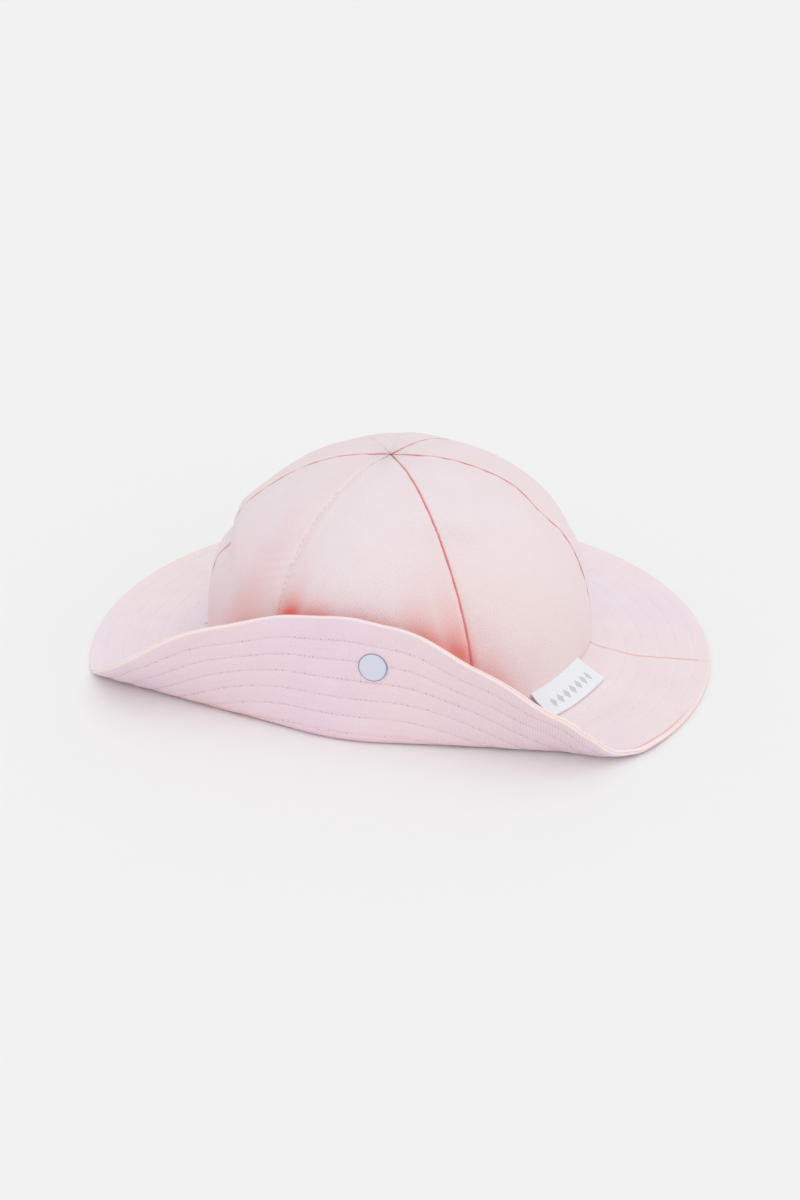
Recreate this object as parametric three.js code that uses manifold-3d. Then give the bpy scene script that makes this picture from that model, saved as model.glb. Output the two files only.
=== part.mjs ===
// A child's cotton bucket hat: six-panel crown, two-part brim, front brim turned up on a press-stud.
// Units are millimetres and +Z is up. The hat rests on its brim on the plane z = 0, its front faces -Y,
// and azimuth is measured from the front towards +X.
// The hat is modelled about the middle of its crown, then moved so that the origin is at the bottom
// centre of its box.
import * as THREE from "three";
import { mergeVertices } from "three/addons/utils/BufferGeometryUtils.js";
import Module from "manifold-3d";

const wasm = await Module();
wasm.setup();

const { cos, sin, min, max, log, exp, sqrt, PI } = Math;
const rad = THREE.MathUtils.degToRad;

// Crown: the dome is a superellipse turned about the crown axis, tipped slightly as it stands. A short
// skirt runs straight down from the dome to the seam with the brim.
const CROWN_RADIUS = 85.3;
const CROWN_HEIGHT = 82;
const CROWN_BASE_Z = 11.6;
const DOME_POWER = 2.2;
const CROWN_TIP_FORWARD = rad(1.3);
const CROWN_TIP_LEFT = rad(-2.7);
const PANELS = 6;
const PANEL_BULGE = 1.6;
const BULGE_LIFT = 0.5;
const FULLNESS_POWER = 0.8;
const FRONT_PRESS = 1.9;
const FRONT_PRESS_HALF_ANGLE = rad(62);
const APEX_SHARE = 0.98;
const SKIRT_SHARE = 0.06;
const CROWN_FOOT_Z = 5.2;

// Cloth thicknesses, and the gap kept between neighbouring pieces.
const GAP = 0.3;
const PANEL_CLOTH = 0.9;
const LINING_CLOTH = 0.5;
const SWEATBAND_CLOTH = 0.9;
const SWEATBAND_SHARES = [-0.05, 0.11];
const SWEATBAND_SEAM_HALF_ANGLE = 0.004;
const BRIM_CLOTH = 0.6;
const BRIM_STACK = 3 * BRIM_CLOTH + 2 * GAP;

// Brim: a strip that rises to the crown seam, then a flat ring on the table.
const BRIM_RADIUS = 138.4;
const BRIM_FRONT_RADIUS = 141.4;
const BRIM_FRONT_HALF_ANGLE = rad(65);
const STRIP_FOOT_RADIUS = 92;
const STRIP_FOOT_SOFTNESS = 0.8;
const STRIP_FOOT_SETBACK = 1;
const STRIP_BEND_SHARE = 0.35;
const STRIP_TOP_INSET = 2.1;
const STRIP_TOP_Z = 2.6;

// Fold of the front brim, seen from above: an arc with a straight arm at each end.
const FOLD_AZIMUTH = rad(-7.3);
const FOLD_ARC_RADIUS = 82.7;
const FOLD_ARC_CENTRE = 3.6;
const FOLD_ARC_HALF = rad(12.3);
const FOLD_LEAN = rad(96.5);
const FOLD_LEAN_AT_END = rad(40);
const FOLD_END_POWER = 2;
const FOLD_SPAN = 97;
const FOLD_GAP = 0.6;
const ROLL_RADIUS = 3.7;
const ROLL_RADIUS_AT_END = 11;
const CLOSED_ROLL_AT_END = 0.8;
const FLAP_HALF_LENGTH = 119;

// Press-stud, along its own axis.
const SNAP_U = 13.9;
const SNAP_D = 37.2;
const CAP_RADIUS = 6.25;
const CAP_HEIGHT = 1.7;
const CAP_EDGE = 0.5;
const CAP_BEVEL = 0.3;
const POST_RADIUS = 1.4;
const HOLE_RADIUS = 2.1;
const HOLE_INNER_END = -14;
const HOLE_OUTER_END = 6;
const SOCKET_RADIUS = 5;
const SOCKET_HEIGHT = 1.3;
const SOCKET_BEVEL = 0.5;
const RECESS_RADIUS = 2.2;
const RECESS_DEPTH = 0.8;
const STUD_RADIUS = 3.5;
const STUD_HEIGHT = 0.6;
const KNOB_RADIUS = 1.8;
const KNOB_BEVEL = 0.3;
const PLATE_RADIUS = 4;
const PLATE_HEIGHT = 0.7;
const PLATE_DEPTH = 3.9;

// Labels.
const LABEL_AZIMUTH = rad(63);
const LABEL_LENGTH = 34;
const LABEL_CLOTH = 0.6;
const CARE_LABEL_WIDTH = 24;
const CARE_LABEL_SHARES = [0.24, 0.42];
const CARE_LABEL_DEPTH = 0.6;
const CARE_LABEL_CLOTH = 0.5;
const LABEL_SHARES = [0.04, 1.13];

const cotton = new THREE.MeshStandardMaterial({ color: 0xf1d9d8, roughness: 0.9, metalness: 0 });
const liningCotton = new THREE.MeshStandardMaterial({ color: 0xf4ecea, roughness: 0.9, metalness: 0 });
const stiffener = new THREE.MeshStandardMaterial({ color: 0xf2f2f0, roughness: 0.95, metalness: 0 });
const labelWeave = new THREE.MeshStandardMaterial({ color: 0xf8f8f8, roughness: 0.7, metalness: 0 });
const snapMetal = new THREE.MeshStandardMaterial({ color: 0xc9d3e2, roughness: 0.35, metalness: 0.7 });

const hat = new THREE.Group();

function addMesh(name, geometry, material) {
  const mesh = new THREE.Mesh(geometry, material);
  mesh.name = name;
  hat.add(mesh);
  return mesh;
}

// The same azimuth, no greater than PI.
function wrapped(azimuth) {
  return azimuth > PI ? azimuth - 2 * PI : azimuth;
}

function spread(from, to, steps) {
  return Array.from({ length: steps + 1 }, (_, i) => from + ((to - from) * i) / steps);
}

function signedVolume(positions, triangles) {
  const [a, b, c] = [new THREE.Vector3(), new THREE.Vector3(), new THREE.Vector3()];
  let volume = 0;
  for (let i = 0; i < triangles.length; i += 3) {
    a.fromArray(positions, 3 * triangles[i]);
    b.fromArray(positions, 3 * triangles[i + 1]);
    c.fromArray(positions, 3 * triangles[i + 2]);
    volume += a.dot(b.cross(c)) / 6;
  }
  return volume;
}

// A closed slab of cloth: surface(u, v) offset along its normal from `low` to `high`. `side` says which
// way the normal points.
function slab(surface, us, vs, low, high, side = 1) {
  const step = 1e-3;
  const positions = [];
  const index = (layer, i, j) => (layer * us.length + i) * vs.length + j;
  for (const offset of [low, high]) {
    for (const u of us) {
      for (const v of vs) {
        const alongU = surface(u + step, v).sub(surface(u - step, v));
        const alongV = surface(u, v + step).sub(surface(u, v - step));
        const normal = alongU.cross(alongV).normalize().multiplyScalar(side);
        positions.push(...surface(u, v).addScaledVector(normal, offset));
      }
    }
  }
  const triangles = [];
  const quad = (a, b, c, d) => triangles.push(a, b, c, a, c, d);
  const lastU = us.length - 1;
  const lastV = vs.length - 1;
  for (let i = 0; i < lastU; i += 1) {
    for (let j = 0; j < lastV; j += 1) {
      quad(index(1, i, j), index(1, i + 1, j), index(1, i + 1, j + 1), index(1, i, j + 1));
      quad(index(0, i, j), index(0, i, j + 1), index(0, i + 1, j + 1), index(0, i + 1, j));
    }
  }
  for (let i = 0; i < lastU; i += 1) {
    quad(index(0, i, 0), index(0, i + 1, 0), index(1, i + 1, 0), index(1, i, 0));
    quad(index(1, i, lastV), index(1, i + 1, lastV), index(0, i + 1, lastV), index(0, i, lastV));
  }
  for (let j = 0; j < lastV; j += 1) {
    quad(index(1, 0, j), index(1, 0, j + 1), index(0, 0, j + 1), index(0, 0, j));
    quad(index(0, lastU, j), index(0, lastU, j + 1), index(1, lastU, j + 1), index(1, lastU, j));
  }
  if (signedVolume(positions, triangles) < 0) {
    triangles.reverse();
  }
  const geometry = new THREE.BufferGeometry();
  geometry.setAttribute("position", new THREE.Float32BufferAttribute(positions, 3));
  geometry.setIndex(triangles);
  return geometry;
}

function toSolid(geometry) {
  const bare = geometry.clone();
  bare.deleteAttribute("normal");
  bare.deleteAttribute("uv");
  const merged = mergeVertices(bare, 1e-4);
  const mesh = new wasm.Mesh({
    numProp: 3,
    vertProperties: new Float32Array(merged.attributes.position.array),
    triVerts: new Uint32Array(merged.index.array),
  });
  return new wasm.Manifold(mesh);
}

function cutHole(geometry, cutter) {
  const mesh = toSolid(geometry).subtract(toSolid(cutter)).getMesh();
  const cut = new THREE.BufferGeometry();
  cut.setAttribute("position", new THREE.Float32BufferAttribute(mesh.vertProperties, 3));
  cut.setIndex(Array.from(mesh.triVerts));
  return cut;
}

// ---- The crown's shape ----

const crownTip = new THREE.Euler(CROWN_TIP_FORWARD, CROWN_TIP_LEFT, 0, "YXZ");

function tipped(azimuth, radius, height) {
  const point = new THREE.Vector3(radius * sin(azimuth), -radius * cos(azimuth), height);
  point.applyEuler(crownTip);
  point.z += CROWN_BASE_Z;
  return point;
}

// share runs from 0 at the dome's edge to 1 at the apex, and down to -SKIRT_SHARE at the brim. Panels
// bulge between their seams, and the front is pressed in a little by the turned-up brim.
function crownPoint(azimuth, share) {
  if (share < 0) {
    const edge = crownPoint(azimuth, 0);
    edge.z += ((edge.z - CROWN_FOOT_Z) * share) / SKIRT_SHARE;
    return edge;
  }
  const climb = (share * PI) / 2;
  const fullness = max(sin(PI * min(share, 1)), 0) ** FULLNESS_POWER;
  const bulge = PANEL_BULGE * Math.abs(cos((azimuth * PANELS) / 2)) * fullness;
  const facing = min(Math.abs(azimuth) / FRONT_PRESS_HALF_ANGLE, 1);
  const press = FRONT_PRESS * cos((facing * PI) / 2) ** 2;
  const across = max(cos(climb), 0);
  const radius = (CROWN_RADIUS + bulge - press) * across;
  const height = (CROWN_HEIGHT + BULGE_LIFT * bulge) * max(sin(climb), 0) ** (2 / DOME_POWER);
  return tipped(azimuth, radius, height);
}

function panelSurface(centre) {
  return (u, v) => {
    const radius = CROWN_RADIUS * cos((v * PI) / 2);
    const half = PI / PANELS - GAP / 2 / radius;
    return crownPoint(wrapped(centre + u * half), v);
  };
}

// ---- The brim's shape ----

const foldOut = new THREE.Vector2(sin(FOLD_AZIMUTH), -cos(FOLD_AZIMUTH));
const foldAlong = new THREE.Vector2(cos(FOLD_AZIMUTH), sin(FOLD_AZIMUTH));

// Foot point and outward normal on the fold curve, at the distance u along it from its middle.
function foldFoot(u) {
  const turn = max(-FOLD_ARC_HALF, min(FOLD_ARC_HALF, u / FOLD_ARC_RADIUS));
  const beyond = u - turn * FOLD_ARC_RADIUS;
  const normal = new THREE.Vector2(sin(turn), cos(turn));
  const foot = normal.clone().multiplyScalar(FOLD_ARC_RADIUS);
  foot.x += beyond * cos(turn);
  foot.y += FOLD_ARC_CENTRE - beyond * sin(turn);
  return { foot, normal };
}

// Radius of the fold curve in the direction of an azimuth.
function foldRadius(azimuth) {
  const fromFold = Math.abs(azimuth - FOLD_AZIMUTH);
  const turn = max(fromFold - FOLD_ARC_HALF, 0);
  const reach = FOLD_ARC_RADIUS + FOLD_ARC_CENTRE * cos(FOLD_ARC_HALF);
  const arcReach = FOLD_ARC_CENTRE * cos(fromFold)
    + sqrt(FOLD_ARC_RADIUS ** 2 - (FOLD_ARC_CENTRE * sin(fromFold)) ** 2);
  return turn > 0 ? reach / max(cos(turn), 1e-3) : arcReach;
}

function rimRadius(azimuth) {
  const facing = min(Math.abs(azimuth - FOLD_AZIMUTH) / BRIM_FRONT_HALF_ANGLE, 1);
  return BRIM_RADIUS + (BRIM_FRONT_RADIUS - BRIM_RADIUS) * cos((facing * PI) / 2) ** 2;
}

function stripFootRadius(azimuth) {
  const past = min((STRIP_FOOT_RADIUS - foldRadius(azimuth)) / STRIP_FOOT_SOFTNESS, 40);
  return STRIP_FOOT_RADIUS - STRIP_FOOT_SOFTNESS * log(1 + exp(past)) - STRIP_FOOT_SETBACK;
}

// Underside of the part of the brim that stays down. v runs from 0 at the crown to 1 at the foot of the
// strip, and to 2 at the rim or the fold.
function brimPoint(azimuth, v) {
  const footRadius = stripFootRadius(azimuth);
  if (v > 1) {
    const outer = min(rimRadius(azimuth), foldRadius(azimuth) - FOLD_GAP);
    const radius = footRadius + (v - 1) * (outer - footRadius);
    return new THREE.Vector3(radius * sin(azimuth), -radius * cos(azimuth), 0);
  }
  const top = tipped(azimuth, CROWN_RADIUS - STRIP_TOP_INSET, 0);
  const topRadius = Math.hypot(top.x, top.y);
  const bend = topRadius + STRIP_BEND_SHARE * (footRadius - topRadius);
  const radius = (1 - v) ** 2 * topRadius + 2 * v * (1 - v) * bend + v ** 2 * footRadius;
  const height = (1 - v) ** 2 * STRIP_TOP_Z;
  return new THREE.Vector3(radius * sin(azimuth), -radius * cos(azimuth), height);
}

// How far along towards an end of the fold: 0 at its middle, 1 from FOLD_SPAN outward.
function towardsEnd(u) {
  return min(Math.abs(u) / FOLD_SPAN, 1) ** FOLD_END_POWER;
}

function foldLean(u) {
  return FOLD_LEAN + (FOLD_LEAN_AT_END - FOLD_LEAN) * towardsEnd(u);
}

function rollRadius(u) {
  return ROLL_RADIUS + (ROLL_RADIUS_AT_END - ROLL_RADIUS) * towardsEnd(u);
}

// Underside of the turned-up brim: u along the fold, d the flat distance beyond it.
function flapPoint(u, d) {
  const { foot, normal } = foldFoot(u);
  const lean = foldLean(u);
  const roll = rollRadius(u);
  const turned = min(max(d, 0) / roll, lean);
  const straight = max(d - roll * lean, 0);
  const out = roll * sin(turned) + straight * cos(lean);
  const up = roll * (1 - cos(turned)) + straight * sin(lean);
  const along = foot.x + normal.x * out;
  const forward = foot.y + normal.y * out;
  return new THREE.Vector3(
    along * foldAlong.x + forward * foldOut.x,
    along * foldAlong.y + forward * foldOut.y,
    up,
  );
}

// Flat distance from the fold to the rim, along the fold's normal.
function flapDepth(u) {
  const { foot, normal } = foldFoot(u);
  const across = foot.dot(normal);
  const reach = (radius) => sqrt(across ** 2 - foot.lengthSq() + radius ** 2) - across;
  const rough = foot.clone().addScaledVector(normal, reach(BRIM_RADIUS));
  return reach(rimRadius(FOLD_AZIMUTH + Math.atan2(rough.x, rough.y)));
}

// The roll of the fold is left open at the front, where the flap turns about it, and closes towards
// the ends of the fold. v runs from 0 at the flap's lower edge to 1 at the rim.
function flapSurface(u, v) {
  const start = rollRadius(u) * foldLean(u) * (1 - CLOSED_ROLL_AT_END * towardsEnd(u));
  return flapPoint(u, start + v * (flapDepth(u) - start));
}

// ---- The press-stud's axis ----

function pressStudFrame() {
  const centre = flapPoint(SNAP_U, SNAP_D);
  const alongU = flapPoint(SNAP_U + 0.1, SNAP_D).sub(flapPoint(SNAP_U - 0.1, SNAP_D));
  const alongD = flapPoint(SNAP_U, SNAP_D + 0.1).sub(flapPoint(SNAP_U, SNAP_D - 0.1));
  const axis = alongU.cross(alongD).normalize();
  if (axis.y > 0) {
    axis.negate();
  }
  const turn = new THREE.Quaternion().setFromUnitVectors(new THREE.Vector3(0, 1, 0), axis);
  return new THREE.Matrix4().compose(centre, turn, new THREE.Vector3(1, 1, 1));
}

const snapFrame = pressStudFrame();

// A solid turned about the press-stud's axis, from [radius, distance outward along the axis] points.
function onSnapAxis(profile, segments = 24) {
  const points = profile.map(([radius, along]) => new THREE.Vector2(radius, along));
  const lathe = new THREE.LatheGeometry(points, segments);
  lathe.deleteAttribute("normal");
  lathe.deleteAttribute("uv");
  const closed = mergeVertices(lathe, 1e-4);
  const kept = [];
  const index = closed.index.array;
  for (let i = 0; i < index.length; i += 3) {
    const [a, b, c] = [index[i], index[i + 1], index[i + 2]];
    if (a !== b && b !== c && a !== c) {
      kept.push(a, b, c);
    }
  }
  if (signedVolume(closed.attributes.position.array, kept) < 0) {
    kept.reverse();
  }
  closed.setIndex(kept);
  return closed.applyMatrix4(snapFrame);
}

const snapHole = onSnapAxis([
  [0, HOLE_INNER_END],
  [HOLE_RADIUS, HOLE_INNER_END],
  [HOLE_RADIUS, HOLE_OUTER_END],
  [0, HOLE_OUTER_END],
]);

// ---- Crown panels, lining, sweatband ----

const panelNames = ["front", "front_right", "back_right", "back", "back_left", "front_left"];

panelNames.forEach((name, i) => {
  const centre = (i * 2 * PI) / PANELS;
  const surface = panelSurface(centre);
  const across = spread(-1, 1, 6);
  const upward = [-SKIRT_SHARE, ...spread(0, APEX_SHARE, 8)];
  const liningFace = -PANEL_CLOTH - GAP;
  const panel = slab(surface, across, upward, -PANEL_CLOTH, 0);
  const lining = slab(surface, across, upward, liningFace - LINING_CLOTH, liningFace);
  const pierced = name === "front";
  addMesh(`crown_panel_${name}`, pierced ? cutHole(panel, snapHole) : panel, cotton);
  addMesh(`lining_${name}`, pierced ? cutHole(lining, snapHole) : lining, liningCotton);
});

const SWEATBAND_DEPTH = PANEL_CLOTH + 3 * GAP + LINING_CLOTH;
const sweatband = slab(
  crownPoint,
  spread(-PI + SWEATBAND_SEAM_HALF_ANGLE, PI - SWEATBAND_SEAM_HALF_ANGLE, 36),
  [SWEATBAND_SHARES[0], 0, SWEATBAND_SHARES[1] / 2, SWEATBAND_SHARES[1]],
  -SWEATBAND_DEPTH - SWEATBAND_CLOTH,
  -SWEATBAND_DEPTH,
);
addMesh("sweatband", sweatband, liningCotton);

const careLabel = slab(
  (u, v) => crownPoint(wrapped(u), v),
  spread(PI - CARE_LABEL_WIDTH / 2 / CROWN_RADIUS, PI + CARE_LABEL_WIDTH / 2 / CROWN_RADIUS, 4),
  spread(...CARE_LABEL_SHARES, 2),
  -SWEATBAND_DEPTH - CARE_LABEL_DEPTH - CARE_LABEL_CLOTH,
  -SWEATBAND_DEPTH - CARE_LABEL_DEPTH,
);
addMesh("care_label", careLabel, labelWeave);

// ---- Brim layers ----

const brimLayers = [
  { name: "under", level: 0, material: cotton },
  { name: "interlining", level: BRIM_CLOTH + GAP, material: stiffener },
  { name: "upper", level: 2 * (BRIM_CLOTH + GAP), material: cotton },
];
const SIDE_SEAM_GAP = GAP / 2 / CROWN_RADIUS;
const foldTip = FOLD_ARC_HALF
  + Math.acos((FOLD_ARC_RADIUS + FOLD_ARC_CENTRE * cos(FOLD_ARC_HALF)) / BRIM_RADIUS);
const brimRows = [...spread(0, 1, 4), ...spread(1, 2, 2).slice(1)];
const frontColumns = [
  ...spread(-PI / 2 + SIDE_SEAM_GAP, FOLD_AZIMUTH - foldTip, 4),
  ...spread(FOLD_AZIMUTH - foldTip, FOLD_AZIMUTH + foldTip, 16).slice(1),
  ...spread(FOLD_AZIMUTH + foldTip, PI / 2 - SIDE_SEAM_GAP, 4).slice(1),
];
const backColumns = spread(PI / 2 + SIDE_SEAM_GAP, (3 * PI) / 2 - SIDE_SEAM_GAP, 20);

for (const { name, level, material } of brimLayers) {
  const top = level + BRIM_CLOTH;
  const front = slab(brimPoint, frontColumns, brimRows, level, top, -1);
  addMesh(`brim_front_${name}`, front, material);
  const back = slab(
    (azimuth, v) => brimPoint(wrapped(azimuth), v),
    backColumns,
    brimRows,
    level,
    top,
    -1,
  );
  addMesh(`brim_back_${name}`, back, material);
  const flap = slab(
    flapSurface,
    spread(-FLAP_HALF_LENGTH, FLAP_HALF_LENGTH, 22),
    spread(0, 1, 4),
    level,
    top,
    -1,
  );
  addMesh(`flap_${name}`, cutHole(flap, snapHole), material);
}

const LABEL_HALF_ANGLE = LABEL_LENGTH / 2 / (CROWN_RADIUS + STRIP_TOP_INSET);
const wovenLabel = slab(
  brimPoint,
  spread(LABEL_AZIMUTH - LABEL_HALF_ANGLE, LABEL_AZIMUTH + LABEL_HALF_ANGLE, 6),
  spread(...LABEL_SHARES, 4),
  BRIM_STACK + GAP,
  BRIM_STACK + GAP + LABEL_CLOTH,
  -1,
);
addMesh("woven_label", wovenLabel, labelWeave);

// ---- Press-stud ----

const socketBack = -BRIM_STACK - GAP;
const socketFace = socketBack - SOCKET_HEIGHT;
const studFace = socketFace - GAP;
const studBack = studFace - STUD_HEIGHT;
const plateFace = studBack - PLATE_DEPTH;
const plateBack = plateFace - PLATE_HEIGHT;

const snapCap = onSnapAxis([
  [0, -BRIM_STACK],
  [POST_RADIUS, -BRIM_STACK],
  [POST_RADIUS, GAP],
  [CAP_RADIUS - CAP_BEVEL, GAP],
  [CAP_RADIUS, GAP + CAP_EDGE],
  [CAP_RADIUS - CAP_EDGE, GAP + 0.7 * CAP_HEIGHT],
  [0.6 * CAP_RADIUS, GAP + CAP_HEIGHT],
  [0, GAP + CAP_HEIGHT],
]);
addMesh("snap_cap", snapCap, snapMetal);

const snapSocket = onSnapAxis([
  [0, socketBack],
  [SOCKET_RADIUS, socketBack],
  [SOCKET_RADIUS, socketFace + SOCKET_BEVEL],
  [SOCKET_RADIUS - SOCKET_BEVEL, socketFace],
  [RECESS_RADIUS, socketFace],
  [RECESS_RADIUS, socketFace + RECESS_DEPTH],
  [0, socketFace + RECESS_DEPTH],
]);
addMesh("snap_socket", snapSocket, snapMetal);

const snapStud = onSnapAxis([
  [0, studBack],
  [STUD_RADIUS, studBack],
  [STUD_RADIUS, studFace],
  [KNOB_RADIUS, studFace],
  [KNOB_RADIUS, studFace + RECESS_DEPTH - KNOB_BEVEL],
  [KNOB_RADIUS - KNOB_BEVEL, studFace + RECESS_DEPTH],
  [0, studFace + RECESS_DEPTH],
]);
addMesh("snap_stud", snapStud, snapMetal);

const snapBackPlate = onSnapAxis([
  [0, plateBack],
  [PLATE_RADIUS, plateBack],
  [PLATE_RADIUS, plateFace],
  [POST_RADIUS, plateFace],
  [POST_RADIUS, studBack - GAP],
  [0, studBack - GAP],
]);
addMesh("snap_back_plate", snapBackPlate, snapMetal);

// ---- Origin at the bottom centre of the box ----

const box = new THREE.Box3().setFromObject(hat, true);
hat.position.set(-(box.min.x + box.max.x) / 2, -(box.min.y + box.max.y) / 2, -box.min.z);

export default hat;
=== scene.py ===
"""A child's cotton bucket hat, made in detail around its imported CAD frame.

Lengths are in millimetres and turned into metres when a mesh is made. The hat is worked out about
the middle of its crown: azimuth is measured from the front (-Y) towards +X, and AXIS_Y moves it into
the row frame.
"""
import math

import bpy
import numpy as np
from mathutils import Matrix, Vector


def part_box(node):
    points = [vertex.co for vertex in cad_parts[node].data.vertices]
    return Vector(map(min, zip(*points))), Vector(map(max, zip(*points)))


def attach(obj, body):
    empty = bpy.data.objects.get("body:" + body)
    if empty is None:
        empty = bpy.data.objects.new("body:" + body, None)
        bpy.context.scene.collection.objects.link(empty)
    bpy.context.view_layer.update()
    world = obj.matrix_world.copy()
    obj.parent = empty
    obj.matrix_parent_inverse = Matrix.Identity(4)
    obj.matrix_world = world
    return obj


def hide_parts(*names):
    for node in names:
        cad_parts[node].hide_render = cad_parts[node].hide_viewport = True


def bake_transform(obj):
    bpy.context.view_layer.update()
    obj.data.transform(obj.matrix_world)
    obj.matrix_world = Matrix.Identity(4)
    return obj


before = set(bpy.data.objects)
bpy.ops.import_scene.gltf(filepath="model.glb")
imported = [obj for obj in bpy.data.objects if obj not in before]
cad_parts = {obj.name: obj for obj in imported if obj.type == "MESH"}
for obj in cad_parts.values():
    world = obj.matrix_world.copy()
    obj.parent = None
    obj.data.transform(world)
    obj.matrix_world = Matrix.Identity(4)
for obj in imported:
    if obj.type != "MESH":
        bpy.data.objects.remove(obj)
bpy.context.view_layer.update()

MM = 0.001
PI = math.pi
rad = math.radians

# ---- The hat's dimensions, as the CAD model has them, but with the crown's foot 1.3 mm lower ----
CROWN_RADIUS = 85.3
CROWN_HEIGHT = 82.0
CROWN_BASE_Z = 11.6
DOME_POWER = 2.2
CROWN_TIP_FORWARD = rad(1.3)
CROWN_TIP_LEFT = rad(-2.7)
PANELS = 6
PANEL_BULGE = 1.6
BULGE_LIFT = 0.5
FULLNESS_POWER = 0.8
FRONT_PRESS = 1.9
FRONT_PRESS_HALF_ANGLE = rad(62)
SKIRT_SHARE = 0.06
CROWN_FOOT_Z = 3.9

BRIM_RADIUS = 138.4
BRIM_FRONT_RADIUS = 141.4
BRIM_FRONT_HALF_ANGLE = rad(65)
BRIM_STACK = 2.4
STRIP_FOOT_RADIUS = 92.0
STRIP_FOOT_SOFTNESS = 0.8
STRIP_TOP_INSET = 2.1
STRIP_TOP_Z = 2.6
STRIP_BEND_SHARE = 0.35

FOLD_AZIMUTH = rad(-7.3)
FOLD_ARC_RADIUS = 82.7
FOLD_ARC_CENTRE = 3.6
FOLD_ARC_HALF = rad(12.3)
FOLD_LEAN = rad(96.5)
FOLD_LEAN_AT_END = rad(40)
FOLD_SPAN = 97.0
ROLL_RADIUS = 3.7
ROLL_RADIUS_AT_END = 11.0

# Cloth thickness. The brim's layers are 0.05 mm thinner here than in the CAD model.
CLOTH = 0.55
PANEL_CLOTH = 0.9
STIFFENER_LOW = 0.92
STIFFENER_HIGH = 1.48

# Cloth coordinates: length up the crown for a share of 1, and the brim's mean radius.
CROWN_CLIMB = CROWN_HEIGHT * 1.5
BRIM_CLOTH_RADIUS = 112.0

# The unevenness of the turned-up edge: azimuth and half-width (degrees) and height (mm) of each wave.
RIM_WAVES = [
    (-54, 5, 2.0), (-30, 7, -2.8), (-5, 9, 1.8), (18, 6, -3.3), (38, 5.5, 4.2), (47, 4.5, -2.6), (56, 5, 1.2),
]
RIM_WAVE_FROM = 108.0

# The cloth flares softly from the crown into the brim on the right.
FLARE_HEIGHT = 6.3
FLARE_AZIMUTH = rad(70)
FLARE_WIDTH = rad(28)
FLARE_FROM = 84.0
FLARE_TO = 108.0

# Stitching: rows round the brim, and the pitch and thickness of the thread.
ROW_PITCH = 7.75
ROW_COUNT = 6
FIRST_ROW = 93.0
STITCH_PITCH = 2.7
STITCH_LENGTH = 2.0
THREAD_RADIUS = 0.19

AXIS_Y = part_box("brim_back_under")[1].y / MM - BRIM_RADIUS
AXIS = np.array([0.0, AXIS_Y, 0.0])

SEAM_AZIMUTHS = [rad(30 + 60 * i) for i in range(PANELS)]
BRIM_ROWS = [FIRST_ROW + ROW_PITCH * i for i in range(ROW_COUNT)]


# ---- Small mathematical helpers ----

def wrapped(angle):
    """An angle brought to -pi..pi."""
    return (np.asarray(angle) + PI) % (2 * PI) - PI


def smooth(value, low, high):
    t = np.clip((value - low) / (high - low), 0, 1)
    return t * t * (3 - 2 * t)


def hump(value, width):
    return np.exp(-(value / width) ** 2)


def normals_of(surface, u, v, step=1e-3):
    """Unit normals of surface(u, v), by central differences."""
    along_u = surface(u + step, v) - surface(u - step, v)
    along_v = surface(u, v + step) - surface(u, v - step)
    normal = np.cross(along_u, along_v)
    return normal / np.maximum(np.linalg.norm(normal, axis=-1, keepdims=True), 1e-12)


class Ripples:
    """A smooth, fixed field of long waves, used for the unevenness of soft cloth."""

    def __init__(self, seed, wavelength, count=14):
        random = np.random.default_rng(seed)
        direction = random.uniform(0, 2 * PI, count)
        length = wavelength * random.uniform(0.6, 1.7, count)
        self.wave = np.stack([np.cos(direction), np.sin(direction)]) * 2 * PI / length
        self.phase = random.uniform(0, 2 * PI, count)

    def __call__(self, x, y):
        total = np.zeros(np.broadcast(x, y).shape)
        for along_x, along_y, phase in zip(*self.wave, self.phase):
            total += np.sin(along_x * x + along_y * y + phase)
        return total / math.sqrt(len(self.phase))


# ---- The crown's surface ----

def tip_matrix():
    cf, sf = math.cos(CROWN_TIP_FORWARD), math.sin(CROWN_TIP_FORWARD)
    cl, sl = math.cos(CROWN_TIP_LEFT), math.sin(CROWN_TIP_LEFT)
    about_y = np.array([[cl, 0, sl], [0, 1, 0], [-sl, 0, cl]])
    about_x = np.array([[1, 0, 0], [0, cf, -sf], [0, sf, cf]])
    return about_y @ about_x


TIP = tip_matrix()


def tipped(azimuth, radius, height):
    azimuth, radius, height = np.broadcast_arrays(azimuth, radius, height)
    point = np.stack([radius * np.sin(azimuth), -radius * np.cos(azimuth), height], axis=-1)
    return point @ TIP.T + np.array([0, 0, CROWN_BASE_Z])


def crown_point(azimuth, share):
    """The crown's outer face; share runs from 0 at the dome's edge to 1 at the apex, and down to
    -SKIRT_SHARE at the seam with the brim."""
    azimuth = wrapped(azimuth)
    below = np.minimum(share, 0)
    share = np.maximum(share, 0)
    climb = share * PI / 2
    fullness = np.maximum(np.sin(PI * np.clip(share, 0, 1)), 0) ** FULLNESS_POWER
    bulge = PANEL_BULGE * np.abs(np.cos(azimuth * PANELS / 2)) * fullness
    facing = np.minimum(np.abs(azimuth) / FRONT_PRESS_HALF_ANGLE, 1)
    press = FRONT_PRESS * np.cos(facing * PI / 2) ** 2
    across = np.maximum(np.cos(climb), 0)
    height = (CROWN_HEIGHT + BULGE_LIFT * bulge) * np.maximum(np.sin(climb), 0) ** (2 / DOME_POWER)
    point = tipped(azimuth, (CROWN_RADIUS + bulge - press) * across, height)
    point[..., 2] += (point[..., 2] - CROWN_FOOT_Z) * below / SKIRT_SHARE
    return point


# ---- The brim's surface, from the flat cloth (azimuth, radius) to the folded brim ----

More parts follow.
